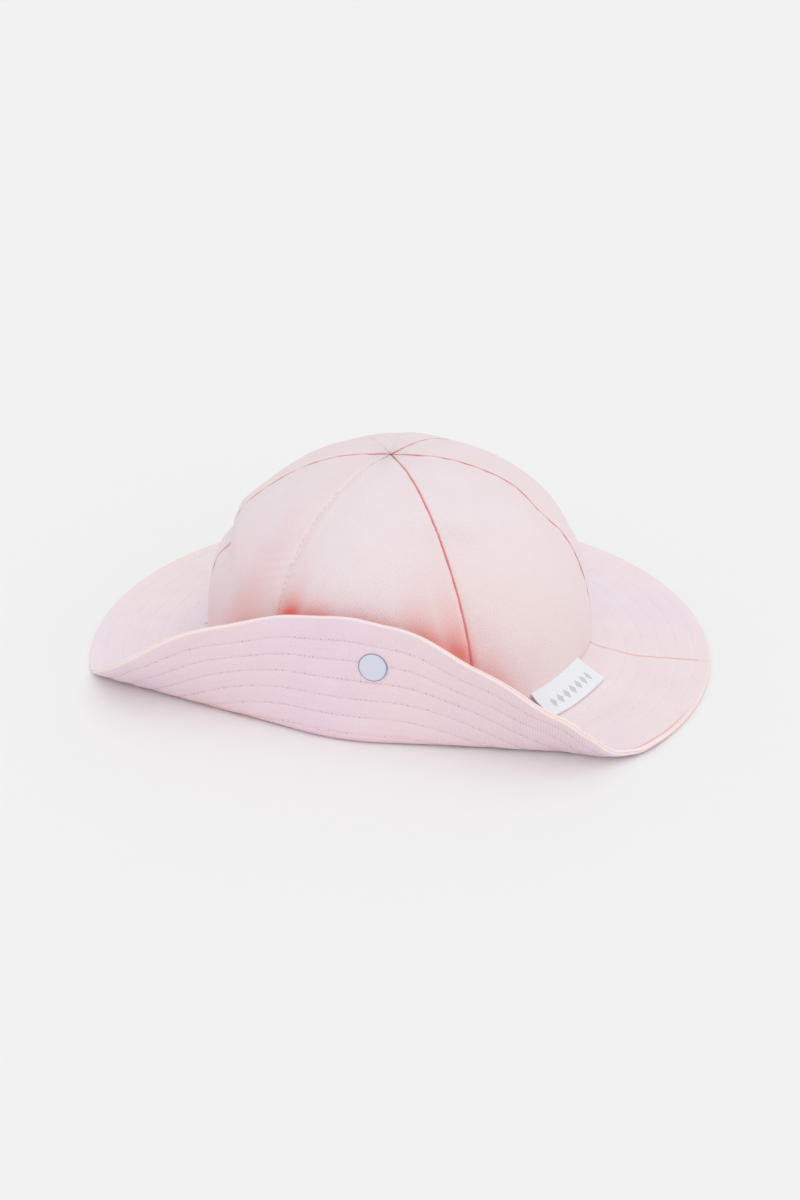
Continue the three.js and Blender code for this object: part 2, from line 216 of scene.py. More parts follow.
FOLD_OUT = np.array([math.sin(FOLD_AZIMUTH), -math.cos(FOLD_AZIMUTH)])
FOLD_ALONG = np.array([math.cos(FOLD_AZIMUTH), math.sin(FOLD_AZIMUTH)])


def fold_radius(azimuth):
    away = np.abs(wrapped(azimuth - FOLD_AZIMUTH))
    turn = np.maximum(away - FOLD_ARC_HALF, 0)
    reach = FOLD_ARC_RADIUS + FOLD_ARC_CENTRE * math.cos(FOLD_ARC_HALF)
    near = np.minimum(away, FOLD_ARC_HALF)
    sideways = FOLD_ARC_CENTRE * np.sin(near)
    arc = FOLD_ARC_CENTRE * np.cos(near) + np.sqrt(FOLD_ARC_RADIUS**2 - sideways**2)
    return np.where(turn > 0, reach / np.maximum(np.cos(np.minimum(turn, 1.5)), 1e-3), arc)


def rim_radius(azimuth):
    facing = np.minimum(np.abs(wrapped(azimuth - FOLD_AZIMUTH)) / BRIM_FRONT_HALF_ANGLE, 1)
    return BRIM_RADIUS + (BRIM_FRONT_RADIUS - BRIM_RADIUS) * np.cos(facing * PI / 2) ** 2


def strip_foot_radius(azimuth):
    past = (STRIP_FOOT_RADIUS - fold_radius(azimuth)) / STRIP_FOOT_SOFTNESS
    return STRIP_FOOT_RADIUS - STRIP_FOOT_SOFTNESS * np.log1p(np.exp(np.minimum(past, 40))) - 1


def flare(azimuth, radius):
    """How far the brim is lifted where the crown flares softly into it."""
    around = hump(wrapped(azimuth - FLARE_AZIMUTH), FLARE_WIDTH)
    return FLARE_HEIGHT * around * (1 - smooth(radius, FLARE_FROM, FLARE_TO))


def strip_point(azimuth, v):
    """Underside of the steep strip beside the crown; v runs from 0 at the crown to 1 at its foot."""
    top = tipped(azimuth, CROWN_RADIUS - STRIP_TOP_INSET, 0.0)
    top_radius = np.hypot(top[..., 0], top[..., 1])
    foot = strip_foot_radius(azimuth)
    bend = top_radius + STRIP_BEND_SHARE * (foot - top_radius)
    radius = (1 - v) ** 2 * top_radius + 2 * v * (1 - v) * bend + v**2 * foot
    height = (1 - v) ** 2 * STRIP_TOP_Z + flare(azimuth, radius)
    return np.stack([radius * np.sin(azimuth), -radius * np.cos(azimuth), height], axis=-1)


def fold_coordinates(azimuth, radius):
    """Flat cloth point in the fold's frame: along it, beyond it, and the foot and normal there."""
    x, y = radius * np.sin(azimuth), -radius * np.cos(azimuth)
    along = x * FOLD_ALONG[0] + y * FOLD_ALONG[1]
    out = x * FOLD_OUT[0] + y * FOLD_OUT[1] - FOLD_ARC_CENTRE
    bearing = np.arctan2(along, out)
    side = np.where(along < 0, -1.0, 1.0)
    sine, cosine = math.sin(FOLD_ARC_HALF), math.cos(FOLD_ARC_HALF)
    arm = (along - side * FOLD_ARC_RADIUS * sine) * side * cosine - (out - FOLD_ARC_RADIUS * cosine) * sine
    on_arm = arm > 0
    normal_x = np.where(on_arm, side * sine, np.sin(bearing))
    normal_y = np.where(on_arm, cosine, np.cos(bearing))
    foot_x = FOLD_ARC_RADIUS * normal_x + np.where(on_arm, arm * side * cosine, 0)
    foot_y = FOLD_ARC_RADIUS * normal_y - np.where(on_arm, arm * sine, 0)
    beyond = (along - foot_x) * normal_x + (out - foot_y) * normal_y
    round_arc = FOLD_ARC_RADIUS * np.where(on_arm, side * FOLD_ARC_HALF, bearing)
    length = round_arc + np.where(on_arm, side * arm, 0)
    return length, beyond, foot_x, foot_y + FOLD_ARC_CENTRE, normal_x, normal_y


def brim_point(azimuth, radius):
    """Underside of the brim outside the strip, flat on the table or turned up beyond the fold."""
    azimuth, radius = np.broadcast_arrays(azimuth, radius)
    length, beyond, foot_x, foot_y, normal_x, normal_y = fold_coordinates(azimuth, radius)
    share = np.minimum(np.abs(length) / FOLD_SPAN, 1) ** 2
    lean = FOLD_LEAN + (FOLD_LEAN_AT_END - FOLD_LEAN) * share
    roll = ROLL_RADIUS + (ROLL_RADIUS_AT_END - ROLL_RADIUS) * share
    turned = np.minimum(np.maximum(beyond, 0) / roll, lean)
    straight = np.maximum(beyond - roll * lean, 0)
    out = np.where(beyond > 0, roll * np.sin(turned) + straight * np.cos(lean), beyond)
    up = roll * (1 - np.cos(turned)) + straight * np.sin(lean)
    along, forward = foot_x + normal_x * out, foot_y + normal_y * out
    x = along * FOLD_ALONG[0] + forward * FOLD_OUT[0]
    y = along * FOLD_ALONG[1] + forward * FOLD_OUT[1]
    flat_x, flat_y = radius * np.sin(azimuth), -radius * np.cos(azimuth)
    faces_fold = np.cos(azimuth - FOLD_AZIMUTH) > 0
    folded = faces_fold & (beyond > 0)
    height = np.where(folded, up, 0.0) + flare(azimuth, radius)
    towards_rim = smooth(radius, RIM_WAVE_FROM, BRIM_RADIUS)
    for degrees, width, wave in RIM_WAVES:
        height = height + wave * hump(wrapped(azimuth - rad(degrees)), rad(width)) * towards_rim
    height = np.maximum(height, 0.0)
    return np.stack([np.where(folded, x, flat_x), np.where(folded, y, flat_y), height], axis=-1)


def brim_offset(azimuth, radius, offset):
    """A point at `offset` above the brim's underside, towards its upper face."""
    normal = normals_of(lambda a, r: brim_point(a, r * BRIM_RADIUS), azimuth, radius / BRIM_RADIUS)
    return brim_point(azimuth, radius) - normal * offset[..., None]


# ---- Making meshes ----

SHARP_ANGLE = rad(50)


def new_object(name, points, faces, material):
    """points are in mm about the crown's axis."""
    mesh = bpy.data.meshes.new(name)
    placed = (np.asarray(points, float).reshape(-1, 3) + AXIS) * MM
    mesh.from_pydata(placed.tolist(), [], [list(face) for face in faces])
    mesh.update()
    mesh.polygons.foreach_set("use_smooth", np.ones(len(mesh.polygons), bool))
    mesh.set_sharp_from_angle(angle=SHARP_ANGLE)
    obj = bpy.data.objects.new(name, mesh)
    bpy.context.collection.objects.link(obj)
    obj.data.materials.append(material)
    return obj


def put_uv(obj, name, uv):
    """uv holds one pair for each vertex."""
    layer = obj.data.uv_layers.new(name=name)
    index = np.empty(len(obj.data.loops), int)
    obj.data.loops.foreach_get("vertex_index", index)
    layer.data.foreach_set("uv", np.asarray(uv, np.float32).reshape(-1, 2)[index].ravel())


def put_value(obj, name, values):
    attribute = obj.data.attributes.new(name, "FLOAT", "POINT")
    attribute.data.foreach_set("value", np.asarray(values, np.float32).ravel())


def shell(name, loop, material, closed_u=False):
    """A closed cloth shell from loop[u, k]: k goes round the cloth's section, u along it."""
    columns, around = loop.shape[:2]
    index = np.arange(columns * around).reshape(columns, around)
    if closed_u:
        index = np.vstack([index, index[:1]])
    a, b = index[:-1], index[1:]
    quads = np.stack([a, b, np.roll(b, -1, axis=1), np.roll(a, -1, axis=1)], axis=-1).reshape(-1, 4)
    faces = quads.tolist()
    points = loop.reshape(-1, 3)
    if not closed_u:
        half = around // 2
        for edge, flip in ((index[0], False), (index[-1], True)):
            for k in range(half - 1):
                face = [edge[k], edge[k + 1], edge[around - 2 - k], edge[around - 1 - k]]
                faces.append(face[::-1] if flip else face)
    volume = 0.0
    quad_points = points[quads]
    for i in (1, 2):
        corners = quad_points[:, [0, i, i + 1]]
        volume += np.einsum("ij,ij->", corners[:, 0], np.cross(corners[:, 1], corners[:, 2]))
    if volume < 0:
        faces = [face[::-1] for face in faces]
    return new_object(name, points, faces, material)


def section(outer, inner):
    """Section loop for shell: along the outer face, then back along the inner one."""
    return np.concatenate([outer, inner[:, ::-1]], axis=1)


def thread(name, paths, material, radius=THREAD_RADIUS, sides=6):
    """Many short tubes in one mesh. Each path is (n, 3); ends are drawn to a point."""
    points, faces = [], []
    offset = 0
    for path in paths:
        count = len(path)
        direction = np.gradient(path, axis=0)
        direction /= np.maximum(np.linalg.norm(direction, axis=1, keepdims=True), 1e-9)
        up = np.array([0.0, 0.0, 1.0])
        across = np.cross(direction, up)
        weak = np.linalg.norm(across, axis=1) < 0.2
        across[weak] = np.cross(direction[weak], [1.0, 0.0, 0.0])
        across /= np.linalg.norm(across, axis=1, keepdims=True)
        other = np.cross(direction, across)
        taper = np.sqrt(np.maximum(1 - np.linspace(-1, 1, count) ** 4, 0.02))
        for i in range(count):
            for s in range(sides):
                angle = 2 * PI * s / sides
                ring = across[i] * math.cos(angle) + other[i] * math.sin(angle)
                points.append(path[i] + ring * radius * taper[i])
        for i in range(count - 1):
            for s in range(sides):
                n = (s + 1) % sides
                row, above = offset + i * sides, offset + (i + 1) * sides
                faces.append([row + s, row + n, above + n, above + s])
        faces.append([offset + s for s in reversed(range(sides))])
        faces.append([offset + (count - 1) * sides + s for s in range(sides)])
        offset += count * sides
    return new_object(name, points, faces, material)


# ---- Materials ----

class Nodes:
    """A short way to write a material's node tree."""

    def __init__(self, name):
        self.material = bpy.data.materials.new(name)
        self.material.use_nodes = True
        self.tree = self.material.node_tree
        self.shader = self.tree.nodes["Principled BSDF"]

    def add(self, kind, settings=None, **inputs):
        node = self.tree.nodes.new(kind)
        for key, value in (settings or {}).items():
            setattr(node, key, value)
        for key, value in inputs.items():
            self.put(node, key, value)
        return node

    def put(self, node, key, value):
        socket = node.inputs[int(key[1:])] if key[0] == "i" and key[1:].isdigit() else node.inputs[key]
        if isinstance(value, bpy.types.NodeSocket):
            self.tree.links.new(value, socket)
        else:
            socket.default_value = value

    def maths(self, operation, a, b=0.0, c=0.0, clamp=False):
        node = self.add("ShaderNodeMath", {"operation": operation, "use_clamp": clamp}, i0=a, i1=b, i2=c)
        return node.outputs[0]

    def mix(self, share, a, b):
        node = self.add("ShaderNodeMix", {"data_type": "RGBA"})
        self.put(node, "i0", share)
        self.put(node, "i6", a)
        self.put(node, "i7", b)
        return node.outputs[2]

    def noise(self, where, scale, detail=2.0, roughness=0.5):
        node = self.add("ShaderNodeTexNoise", None, Vector=where, Scale=scale, Detail=detail,
                        Roughness=roughness)
        return node.outputs["Fac"]

    def wave(self, value, pitch):
        """A sine along `value`, one period to each `pitch`."""
        return self.maths("SINE", self.maths("MULTIPLY", value, 2 * PI / pitch))

    def position(self):
        return self.add("ShaderNodeTexCoord").outputs["Object"]

    def attribute(self, name):
        return self.add("ShaderNodeAttribute", {"attribute_name": name}).outputs["Fac"]

    def uv(self, name):
        return self.add("ShaderNodeUVMap", {"uv_map": name}).outputs["UV"]

    def apart(self, where):
        return self.add("ShaderNodeSeparateXYZ", None, Vector=where).outputs

    def ramp(self, value, low, high):
        node = self.add("ShaderNodeMapRange", None, Value=value)
        self.put(node, "From Min", low)
        self.put(node, "From Max", high)
        return node.outputs["Result"]

    def set(self, **values):
        for key, value in values.items():
            self.put(self.shader, key.replace("_", " "), value)

    def finish(self, colour, height, strength, depth, roughness, **values):
        """Gives the shader its colour, its bump (depth in metres) and its roughness."""
        bump = self.add("ShaderNodeBump", None, Height=height, Strength=strength, Distance=depth)
        self.set(Base_Color=colour, Normal=bump.outputs["Normal"], Roughness=roughness, **values)
        return self.material


def linear(r, g, b):
    """Linear colour from display values 0-255."""
    channel = [((c / 255 + 0.055) / 1.055) ** 2.4 if c > 10 else c / 255 / 12.92 for c in (r, g, b)]
    return (*channel, 1.0)


def twill(name, base, shade, groove, hole_share=0.0, blush=None):
    """Cotton twill: diagonal ribs, slubs, soft colour drift, and painted coral shade and cream highlight
    where they are painted.

    base and shade are the cloth's two drifting tones, groove the tone between its ribs. hole_share
    shows the needle holes of the stitch rows with painted shade. blush is a third, slow tone."""
    n = Nodes(name)
    cloth = n.uv("cloth")
    x, y, _ = n.apart(cloth)
    wander = n.noise(cloth, 0.35, 3.0)
    diagonal = n.maths("ADD", n.maths("MULTIPLY", x, TWILL_ACROSS), n.maths("MULTIPLY", y, TWILL_UP))
    phase = n.maths("MULTIPLY_ADD", diagonal, 2 * PI / TWILL_PITCH, n.maths("MULTIPLY", wander, 2.2))
    rib_wave = n.maths("MULTIPLY_ADD", n.maths("SINE", phase), 0.5, 0.5)
    yarn_wave = n.maths("MULTIPLY_ADD", n.wave(y, YARN_PITCH), 0.5, 0.5)
    slub = n.noise(cloth, 1.3, 4.0, 0.65)
    weave = n.maths("ADD", n.maths("MULTIPLY", rib_wave, 0.72), n.maths("MULTIPLY", yarn_wave, 0.28))
    height = n.maths("ADD", n.maths("MULTIPLY", weave, 0.16), n.maths("MULTIPLY", slub, 0.14))
    drift = n.noise(cloth, 0.022, 2.0)
    colour = n.mix(n.ramp(drift, 0.35, 0.65), base, shade)
    if blush:
        slow = n.noise(n.position(), 9.0, 1.0)
        colour = n.mix(n.maths("MULTIPLY", n.ramp(slow, 0.40, 0.64), 0.8, clamp=True), colour, blush)
    patchy = n.maths("MULTIPLY_ADD", n.noise(cloth, 0.06, 3.0), 0.5, 0.1)
    thin = n.maths("MULTIPLY", n.maths("SUBTRACT", 1.0, weave), patchy)
    colour = n.mix(thin, colour, groove)
    # Painted coral shade and coloured light in seams, gaps and folds.
    colour = n.mix(n.attribute("painted_coral_shade"), colour, PAINTED_CORAL_SHADE)
    # Painted cream highlight on the rim where the brim is turned up.
    colour = n.mix(n.attribute("edge"), colour, PAINTED_RIM_HIGHLIGHT)
    # Painted shade in the needle holes, with a small dip in the bump.
    if hole_share:
        across, beside, _ = n.apart(n.uv("stitch"))
        along = n.maths("MULTIPLY", n.maths("PINGPONG", across, 0.5), STITCH_PITCH)
        squares = n.maths("ADD", n.maths("MULTIPLY", along, along), n.maths("MULTIPLY", beside, beside))
        hole = n.maths("SUBTRACT", 1.0, n.ramp(n.maths("SQRT", squares), 0.15, 0.55), clamp=True)
        uneven = n.ramp(n.noise(cloth, 0.45, 2.0), 0.36, 0.66)
        hole = n.maths("MULTIPLY", hole, uneven, clamp=True)
        colour = n.mix(n.maths("MULTIPLY", hole, hole_share), colour, HOLE_SHADE)
        height = n.maths("SUBTRACT", height, n.maths("MULTIPLY", hole, 0.4))
    return n.finish(colour, height, 0.6, 0.0008, n.maths("MULTIPLY_ADD", slub, 0.12, 0.80),
                    Sheen_Weight=0.15, Sheen_Roughness=0.5, Specular_IOR_Level=0.2)


def plain_weave(name, base, shade, pitch=0.5):
    n = Nodes(name)
    cloth = n.uv("cloth")
    x, y, _ = n.apart(cloth)
    crossed = n.maths("MULTIPLY", n.wave(x, pitch), n.wave(y, pitch))
    weave = n.maths("MULTIPLY_ADD", crossed, 0.5, 0.5)
    slub = n.noise(cloth, 0.9, 4.0, 0.6)
    height = n.maths("ADD", n.maths("MULTIPLY", weave, 0.08), n.maths("MULTIPLY", slub, 0.12))
    colour = n.mix(n.ramp(slub, 0.3, 0.7), base, shade)
    return n.finish(colour, height, 0.5, 0.0005, n.maths("MULTIPLY_ADD", slub, 0.1, 0.82),
                    Sheen_Weight=0.15, Specular_IOR_Level=0.25)


def ribbed_tape(name, base, shade):
    n = Nodes(name)
    cloth = n.uv("cloth")
    x, y, _ = n.apart(cloth)
    rib = n.maths("MULTIPLY_ADD", n.wave(x, RIB_PITCH), 0.5, 0.5)
    herringbone = n.maths("PINGPONG", y, 2.5)
    slant = n.wave(n.maths("ADD", x, herringbone), SLANT_PITCH)
    weave = n.maths("ADD", n.maths("MULTIPLY", rib, 0.4), n.maths("MULTIPLY_ADD", slant, 0.3, 0.3))
    fuzz = n.noise(cloth, 2.0, 4.0, 0.6)
    height = n.maths("ADD", n.maths("MULTIPLY", weave, 0.15), n.maths("MULTIPLY", fuzz, 0.06))
    colour = n.mix(n.maths("MULTIPLY", weave, 0.8), shade, base)
    return n.finish(colour, height, 0.6, 0.0006, n.maths("MULTIPLY_ADD", fuzz, 0.1, 0.78), Sheen_Weight=0.2)


def satin_label(name, base, mark):
    """Label tape with a woven row of small diamonds along its middle; `mark` is the diamonds' colour."""
    n = Nodes(name)
    cloth = n.uv("cloth")
    x, y, _ = n.apart(cloth)
    weft = n.maths("MULTIPLY", n.wave(y, LABEL_WEFT_PITCH), 0.04)
    height = n.maths("MULTIPLY_ADD", n.wave(x, LABEL_WARP_PITCH), 0.06, weft)
    along = n.maths("PINGPONG", x, DIAMOND_SPACING / 2)
    reach = n.maths("ADD", along, n.maths("MULTIPLY", n.maths("ABSOLUTE", y), 0.7))
    diamond = n.maths("SUBTRACT", 1.0, n.ramp(reach, 1.45, 1.7), clamp=True)
    middle = n.maths("LESS_THAN", n.maths("ABSOLUTE", x), DIAMOND_ROW_HALF)
    diamond = n.maths("MULTIPLY", diamond, middle)
    fuzz = n.noise(cloth, 1.2, 3.0)
    colour = n.mix(n.maths("MULTIPLY", fuzz, 0.25), base, linear(226, 226, 233))
    colour = n.mix(n.maths("MULTIPLY", diamond, 0.8), colour, mark)
    height = n.maths("ADD", height, n.maths("MULTIPLY", diamond, 0.1))
    return n.finish(colour, height, 0.4, 0.0004, n.maths("MULTIPLY_ADD", fuzz, 0.1, 0.5), Sheen_Weight=0.1)


def sewing_thread(name, base):
    n = Nodes(name)
    twist = n.noise(n.position(), 2600.0, 2.0)
    colour = n.mix(n.maths("MULTIPLY", twist, 0.35), base, linear(214, 178, 184))
    return n.finish(colour, twist, 0.4, 0.0002, 0.62, Sheen_Weight=0.2)


def enamel(name, base):
    n = Nodes(name)
    speck = n.noise(n.position(), 900.0, 3.0)
    colour = n.mix(n.maths("MULTIPLY", speck, 0.25), base, linear(196, 200, 216))
    return n.finish(colour, speck, 0.05, 0.0002, n.maths("MULTIPLY_ADD", speck, 0.1, 0.28),
                    Coat_Weight=0.3, Coat_Roughness=0.15)


def plated_metal(name, base):
    n = Nodes(name)
    scratch = n.noise(n.position(), 1500.0, 5.0, 0.7)
    return n.finish(base, scratch, 0.08, 0.0002, n.maths("MULTIPLY_ADD", scratch, 0.18, 0.22), Metallic=1.0)


TWILL_PITCH = 1.05
TWILL_ACROSS = 0.87
TWILL_UP = 0.50
YARN_PITCH = 0.62
RIB_PITCH = 0.8
SLANT_PITCH = 1.2
LABEL_WARP_PITCH = 0.34
LABEL_WEFT_PITCH = 0.5
DIAMOND_SPACING = 4.2
DIAMOND_ROW_HALF = 13.5
PAINTED_CORAL_SHADE = linear(234, 104, 86)
PAINTED_RIM_HIGHLIGHT = linear(252, 240, 234)
HOLE_SHADE = linear(150, 104, 128)
GROOVE_PINK = linear(232, 190, 194)
crown_twill = twill("crown_twill", linear(239, 231, 234), linear(238, 232, 238), GROOVE_PINK,
                    blush=linear(240, 226, 224))
brim_twill = twill("brim_twill", linear(243, 236, 241), linear(240, 231, 242), GROOVE_PINK, 0.1,
                   blush=linear(244, 233, 232))
under_twill = twill("under_twill", linear(242, 222, 236), linear(244, 225, 232), linear(226, 186, 204), 0.5,
                    blush=linear(245, 226, 226))
lining_cloth = plain_weave("lining_cloth", linear(243, 231, 228), linear(238, 224, 222))
stiff_felt = plain_weave("stiff_felt", linear(240, 238, 234), linear(232, 230, 226), pitch=0.9)
band_tape = ribbed_tape("band_tape", linear(242, 230, 228), linear(226, 205, 203))
care_tape = plain_weave("care_tape", linear(246, 245, 243), linear(238, 238, 238), pitch=0.4)
label_satin = satin_label("label_satin", linear(238, 242, 246), linear(192, 196, 202))
upper_thread = sewing_thread("upper_thread", linear(247, 236, 236))
pink_thread = sewing_thread("pink_thread", linear(240, 216, 216))
# The coral seam thread is partly thread and partly painted shade in the seam grooves.
coral_thread_and_seam_shade = sewing_thread("coral_thread_and_seam_shade", linear(232, 116, 110))
cap_enamel = enamel("cap_enamel", linear(219, 222, 236))
# A darker copy of the cap's enamel: painted shade on the cap's side wall.
rim_enamel_painted_shade = enamel("rim_enamel_painted_shade", linear(138, 134, 166))
nickel = plated_metal("nickel", (0.72, 0.73, 0.75, 1.0))


def place(obj, body, slot, *nodes):
    """Puts a finished piece on its body, and hides the CAD parts that it stands for."""
    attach(obj, body)
    if nodes:
        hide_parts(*nodes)
    return obj


# ---- Crown ----

CROWN_PANEL_NAMES = ["front", "front_right", "back_right", "back", "back_left", "front_left"]
SEAM_FOLD = 0.3
SEAM_FOLD_WIDTH = 0.55
PALE_SEAM_FOLD = 0.12
PANEL_ROWS = 130
PANEL_COLUMNS = 96
APEX_SHARE = 0.998
STITCHED_SEAM = rad(-30)
PALE_SEAMS = [STITCHED_SEAM, rad(-150)]

slow_ripple = Ripples(11, 46.0)
quick_ripple = Ripples(12, 15.0)
seam_ripple = Ripples(13, 9.0)


def on_crown(azimuth, share, at_azimuth, at_share, turn=0.0):
    """Distances in mm across and up the crown from a spot, turned by an angle."""
    radius = CROWN_RADIUS * math.cos(at_share * PI / 2)
    x = wrapped(azimuth - at_azimuth) * radius
    y = (share - at_share) * CROWN_CLIMB
    c, s = math.cos(turn), math.sin(turn)
    return c * x + s * y, -s * x + c * y


def dent(azimuth, share, spot, size, depth, turn=0.0):
    """A smooth hollow of the given depth."""
    x, y = on_crown(azimuth, share, *spot, turn)
    return -depth * np.exp(-(x / size[0]) ** 2 - (y / size[1]) ** 2)


def pulls(azimuth, share, spot, size, depth, pitch, turn):
    """Fine parallel wrinkles across a patch."""
    x, y = on_crown(azimuth, share, *spot, turn)
    return depth * np.sin(2 * PI * y / pitch) * np.exp(-(x / size[0]) ** 2 - (y / size[1]) ** 2)


# Soft dents and swellings: azimuth (degrees) and share of the spot, half-sizes across and up (mm),
# height (mm, negative for a dent), turn (degrees).
SWELLS = [
    (-81, 0.33, 24, 6.5, -3.4, -6),
    (-84, 0.47, 24, 11, 1.4, 0),
    (-92, 0.12, 10, 30, 2.4, 0),
    (-93, 0.42, 10, 9, 1.3, 0),
    (-62, 0.24, 18, 8, -1.0, 10),
    (94, 0.50, 10, 7, -1.6, 20),
    (86, 0.60, 16, 9, 0.8, 0),
    (-31, 0.30, 5, 30, -1.2, -4),
    (-42, 0.46, 15, 8, -1.0, 30),
    (31, 0.30, 5, 20, -0.8, 0),
    (14, 0.42, 16, 22, 0.7, 0),
    (60, 0.40, 20, 20, 0.8, 0),
    (-135, 0.45, 20, 12, -1.2, 15),
    (158, 0.50, 26, 10, -1.1, -20),
    (120, 0.30, 20, 7, -1.0, 10),
]
# Fine parallel wrinkles: azimuth, share, half-sizes, height, pitch (mm), turn (degrees).
PULLS = [
    (38, 0.55, 13, 7, 0.45, 3.0, -26),
    (-35, 0.42, 9, 7, 0.25, 4.0, 24),
    (-27, 0.20, 9, 6, 0.25, 4.2, -20),
    (150, 0.55, 12, 7, 0.25, 3.4, 18),
]
APEX_DIP = 1.6
APEX_DIP_RADIUS = 16.0


def crown_relief(azimuth, share):
    """How far soft cloth stands off the plain dome, in mm."""
    x = azimuth * CROWN_RADIUS
    y = share * CROWN_CLIMB
    loose = np.sin(PI * np.clip(share, 0.004, 0.996)) ** 0.5
    relief = 0.28 * slow_ripple(x, y) * loose + 0.07 * quick_ripple(x, y) * loose
    for degrees, at_share, across, up, height, turn in SWELLS:
        relief += dent(azimuth, share, (rad(degrees), at_share), (across, up), -height, rad(turn))
    for degrees, at_share, across, up, height, pitch, turn in PULLS:
        relief += pulls(azimuth, share, (rad(degrees), at_share), (across, up), height, pitch, rad(turn))
    from_apex = CROWN_RADIUS * np.cos(np.clip(share, 0, 1) * PI / 2)
    return relief - APEX_DIP * hump(from_apex, APEX_DIP_RADIUS)


SAME_SEAM = 0.1
WAVER = 0.012
# Kinks of the right side seam: sideways angle, and the share where each is.
RIGHT_SEAM_KINKS = [(0.05, 0.52), (-0.03, 0.42)]
KINK_WIDTH = 0.05
LEFT_SEAM_FORWARD = 0.14


def seam_waver(seam, share):
    """Sideways wander of a crown seam, as an angle."""
    wander = WAVER * math.sin(3.1 * seam) * np.sin(PI * share) * np.sin(6.0 * share + 2.0 * seam)
    if abs(seam - PI / 2) < SAME_SEAM:
        for angle, at_share in RIGHT_SEAM_KINKS:
            wander = wander + angle * hump(share - at_share, KINK_WIDTH)
    if abs(seam + PI / 2) < SAME_SEAM:
        wander = wander + LEFT_SEAM_FORWARD * (1 - smooth(share, 0.40, 0.68))
    return wander


def is_pale(seam):
    return min(abs(wrapped(seam - pale)) for pale in PALE_SEAMS) < SAME_SEAM


def seam_fold(seam):
    """How deep the cloth turns in at a seam: the pale ones lie nearly flat."""
    return PALE_SEAM_FOLD if is_pale(seam) else SEAM_FOLD


def panel_grid(centre, rows, columns, depth):
    """Points of one panel's face at `depth` behind the outer face, with the cloth turned in at the seams."""
    skirt = np.linspace(-SKIRT_SHARE, 0, 12)[:-1]
    share = np.concatenate([skirt, np.linspace(0.0, APEX_SHARE, rows)])[None, :]
    u = np.linspace(-1, 1, columns)[:, None]
    u = np.sign(u) * (1 - (1 - np.abs(u)) ** 1.35)
    half = PI / PANELS
    left = centre - half + seam_waver(wrapped(centre - half), share)
    right = centre + half + seam_waver(wrapped(centre + half), share)
    middle, spread = (left + right) / 2, (right - left) / 2
    radius = CROWN_RADIUS * np.cos(np.maximum(share, 0) * PI / 2)
    spread = spread - 0.06 / radius
    azimuth = middle + u * spread
    from_seam = (1 - np.abs(u)) * spread * radius
    fold = np.where(u < 0, seam_fold(centre - half), seam_fold(centre + half))
    turned_in = fold * hump(from_seam, SEAM_FOLD_WIDTH) * (1 - 0.8 * smooth(share, 0.7, 0.97))
    lip = 0.22 * hump(from_seam - 2.4, 1.5)
    gather = 0.13 * seam_ripple(share * 150 + 40 * centre, 0 * u) * hump(from_seam - 1.5, 3.0)
    offset = crown_relief(wrapped(azimuth), share) - turned_in + lip + gather - depth
    point = crown_point(azimuth, share)
    normal = normals_of(crown_point, azimuth, share + 0 * azimuth)
    return point + normal * offset[..., None], azimuth, share + 0 * azimuth, from_seam + 0 * azimuth


def flap_rim_height(azimuth):
    """Height of the turned-up brim's edge in front of the crown at an azimuth."""
    cloth = np.linspace(FOLD_AZIMUTH - rad(75), FOLD_AZIMUTH + rad(75), 301)
    rim = brim_point(cloth, rim_radius(cloth))
    around = np.arctan2(rim[:, 0], -rim[:, 1])
    order = np.argsort(around)
    return np.interp(azimuth, around[order], rim[order, 2], left=0.0, right=0.0)


# Painted coral shade and coloured light on the crown behind the turned-up brim: azimuth of each patch, its
# half-width (degrees), strength, and how far up it fades (mm).
GLOWS = [
    (-26, 6, 0.95, 6.0),
    (-18, 10, 0.60, 4.0),
    (0, 18, 0.34, 3.5),
    (19, 9, 0.60, 7.0),
    (27, 6, 0.80, 11.0),
    (38, 10, 0.42, 9.0),
    (-48, 15, 0.42, 24.0),
    (-68, 15, 0.42, 26.0),
]
GLOW_FOOT = 3.0
GLOW_BAND = 2.0
GLOW_FADE_DOWN = 14.0


def crown_painted_shade(azimuth, share, from_seam, height):
    """Painted coral shade on the crown: shade in the seams and at the foot, and painted shade and coloured
    light low down behind the turned-up brim.
    """
    azimuth = wrapped(azimuth)
    pale = np.zeros(azimuth.shape, bool)
    for seam in PALE_SEAMS:
        pale |= np.abs(wrapped(azimuth - seam)) < rad(14)
    # Painted shade in the seams, faint at the pale ones.
    seam = np.where(pale, 0.05, 0.75) * hump(from_seam, 0.35)
    above = height - flap_rim_height(azimuth) + GLOW_FOOT
    glow = np.zeros_like(azimuth)
    for degrees, width, strength, fade in GLOWS:
        upward = np.exp(-np.maximum(above, 0) / fade)
        glow = np.maximum(glow, strength * hump(azimuth - rad(degrees), rad(width)) * upward)
    glow *= np.exp(np.minimum(above + GLOW_BAND, 0) / GLOW_FADE_DOWN)
    # Painted shade along the crown's foot where it meets the brim.
    foot = 0.25 * hump(height - CROWN_FOOT_Z - flare(azimuth, CROWN_RADIUS), 1.5)
    return np.clip(seam + glow + foot, 0, 1)


def cloth_uv(azimuth, share):
    """Cloth coordinates in mm on a crown panel."""
    across = azimuth * CROWN_RADIUS * np.cos(share * PI / 2 * 0.8)
    return np.stack([across, share * CROWN_CLIMB], axis=-1)


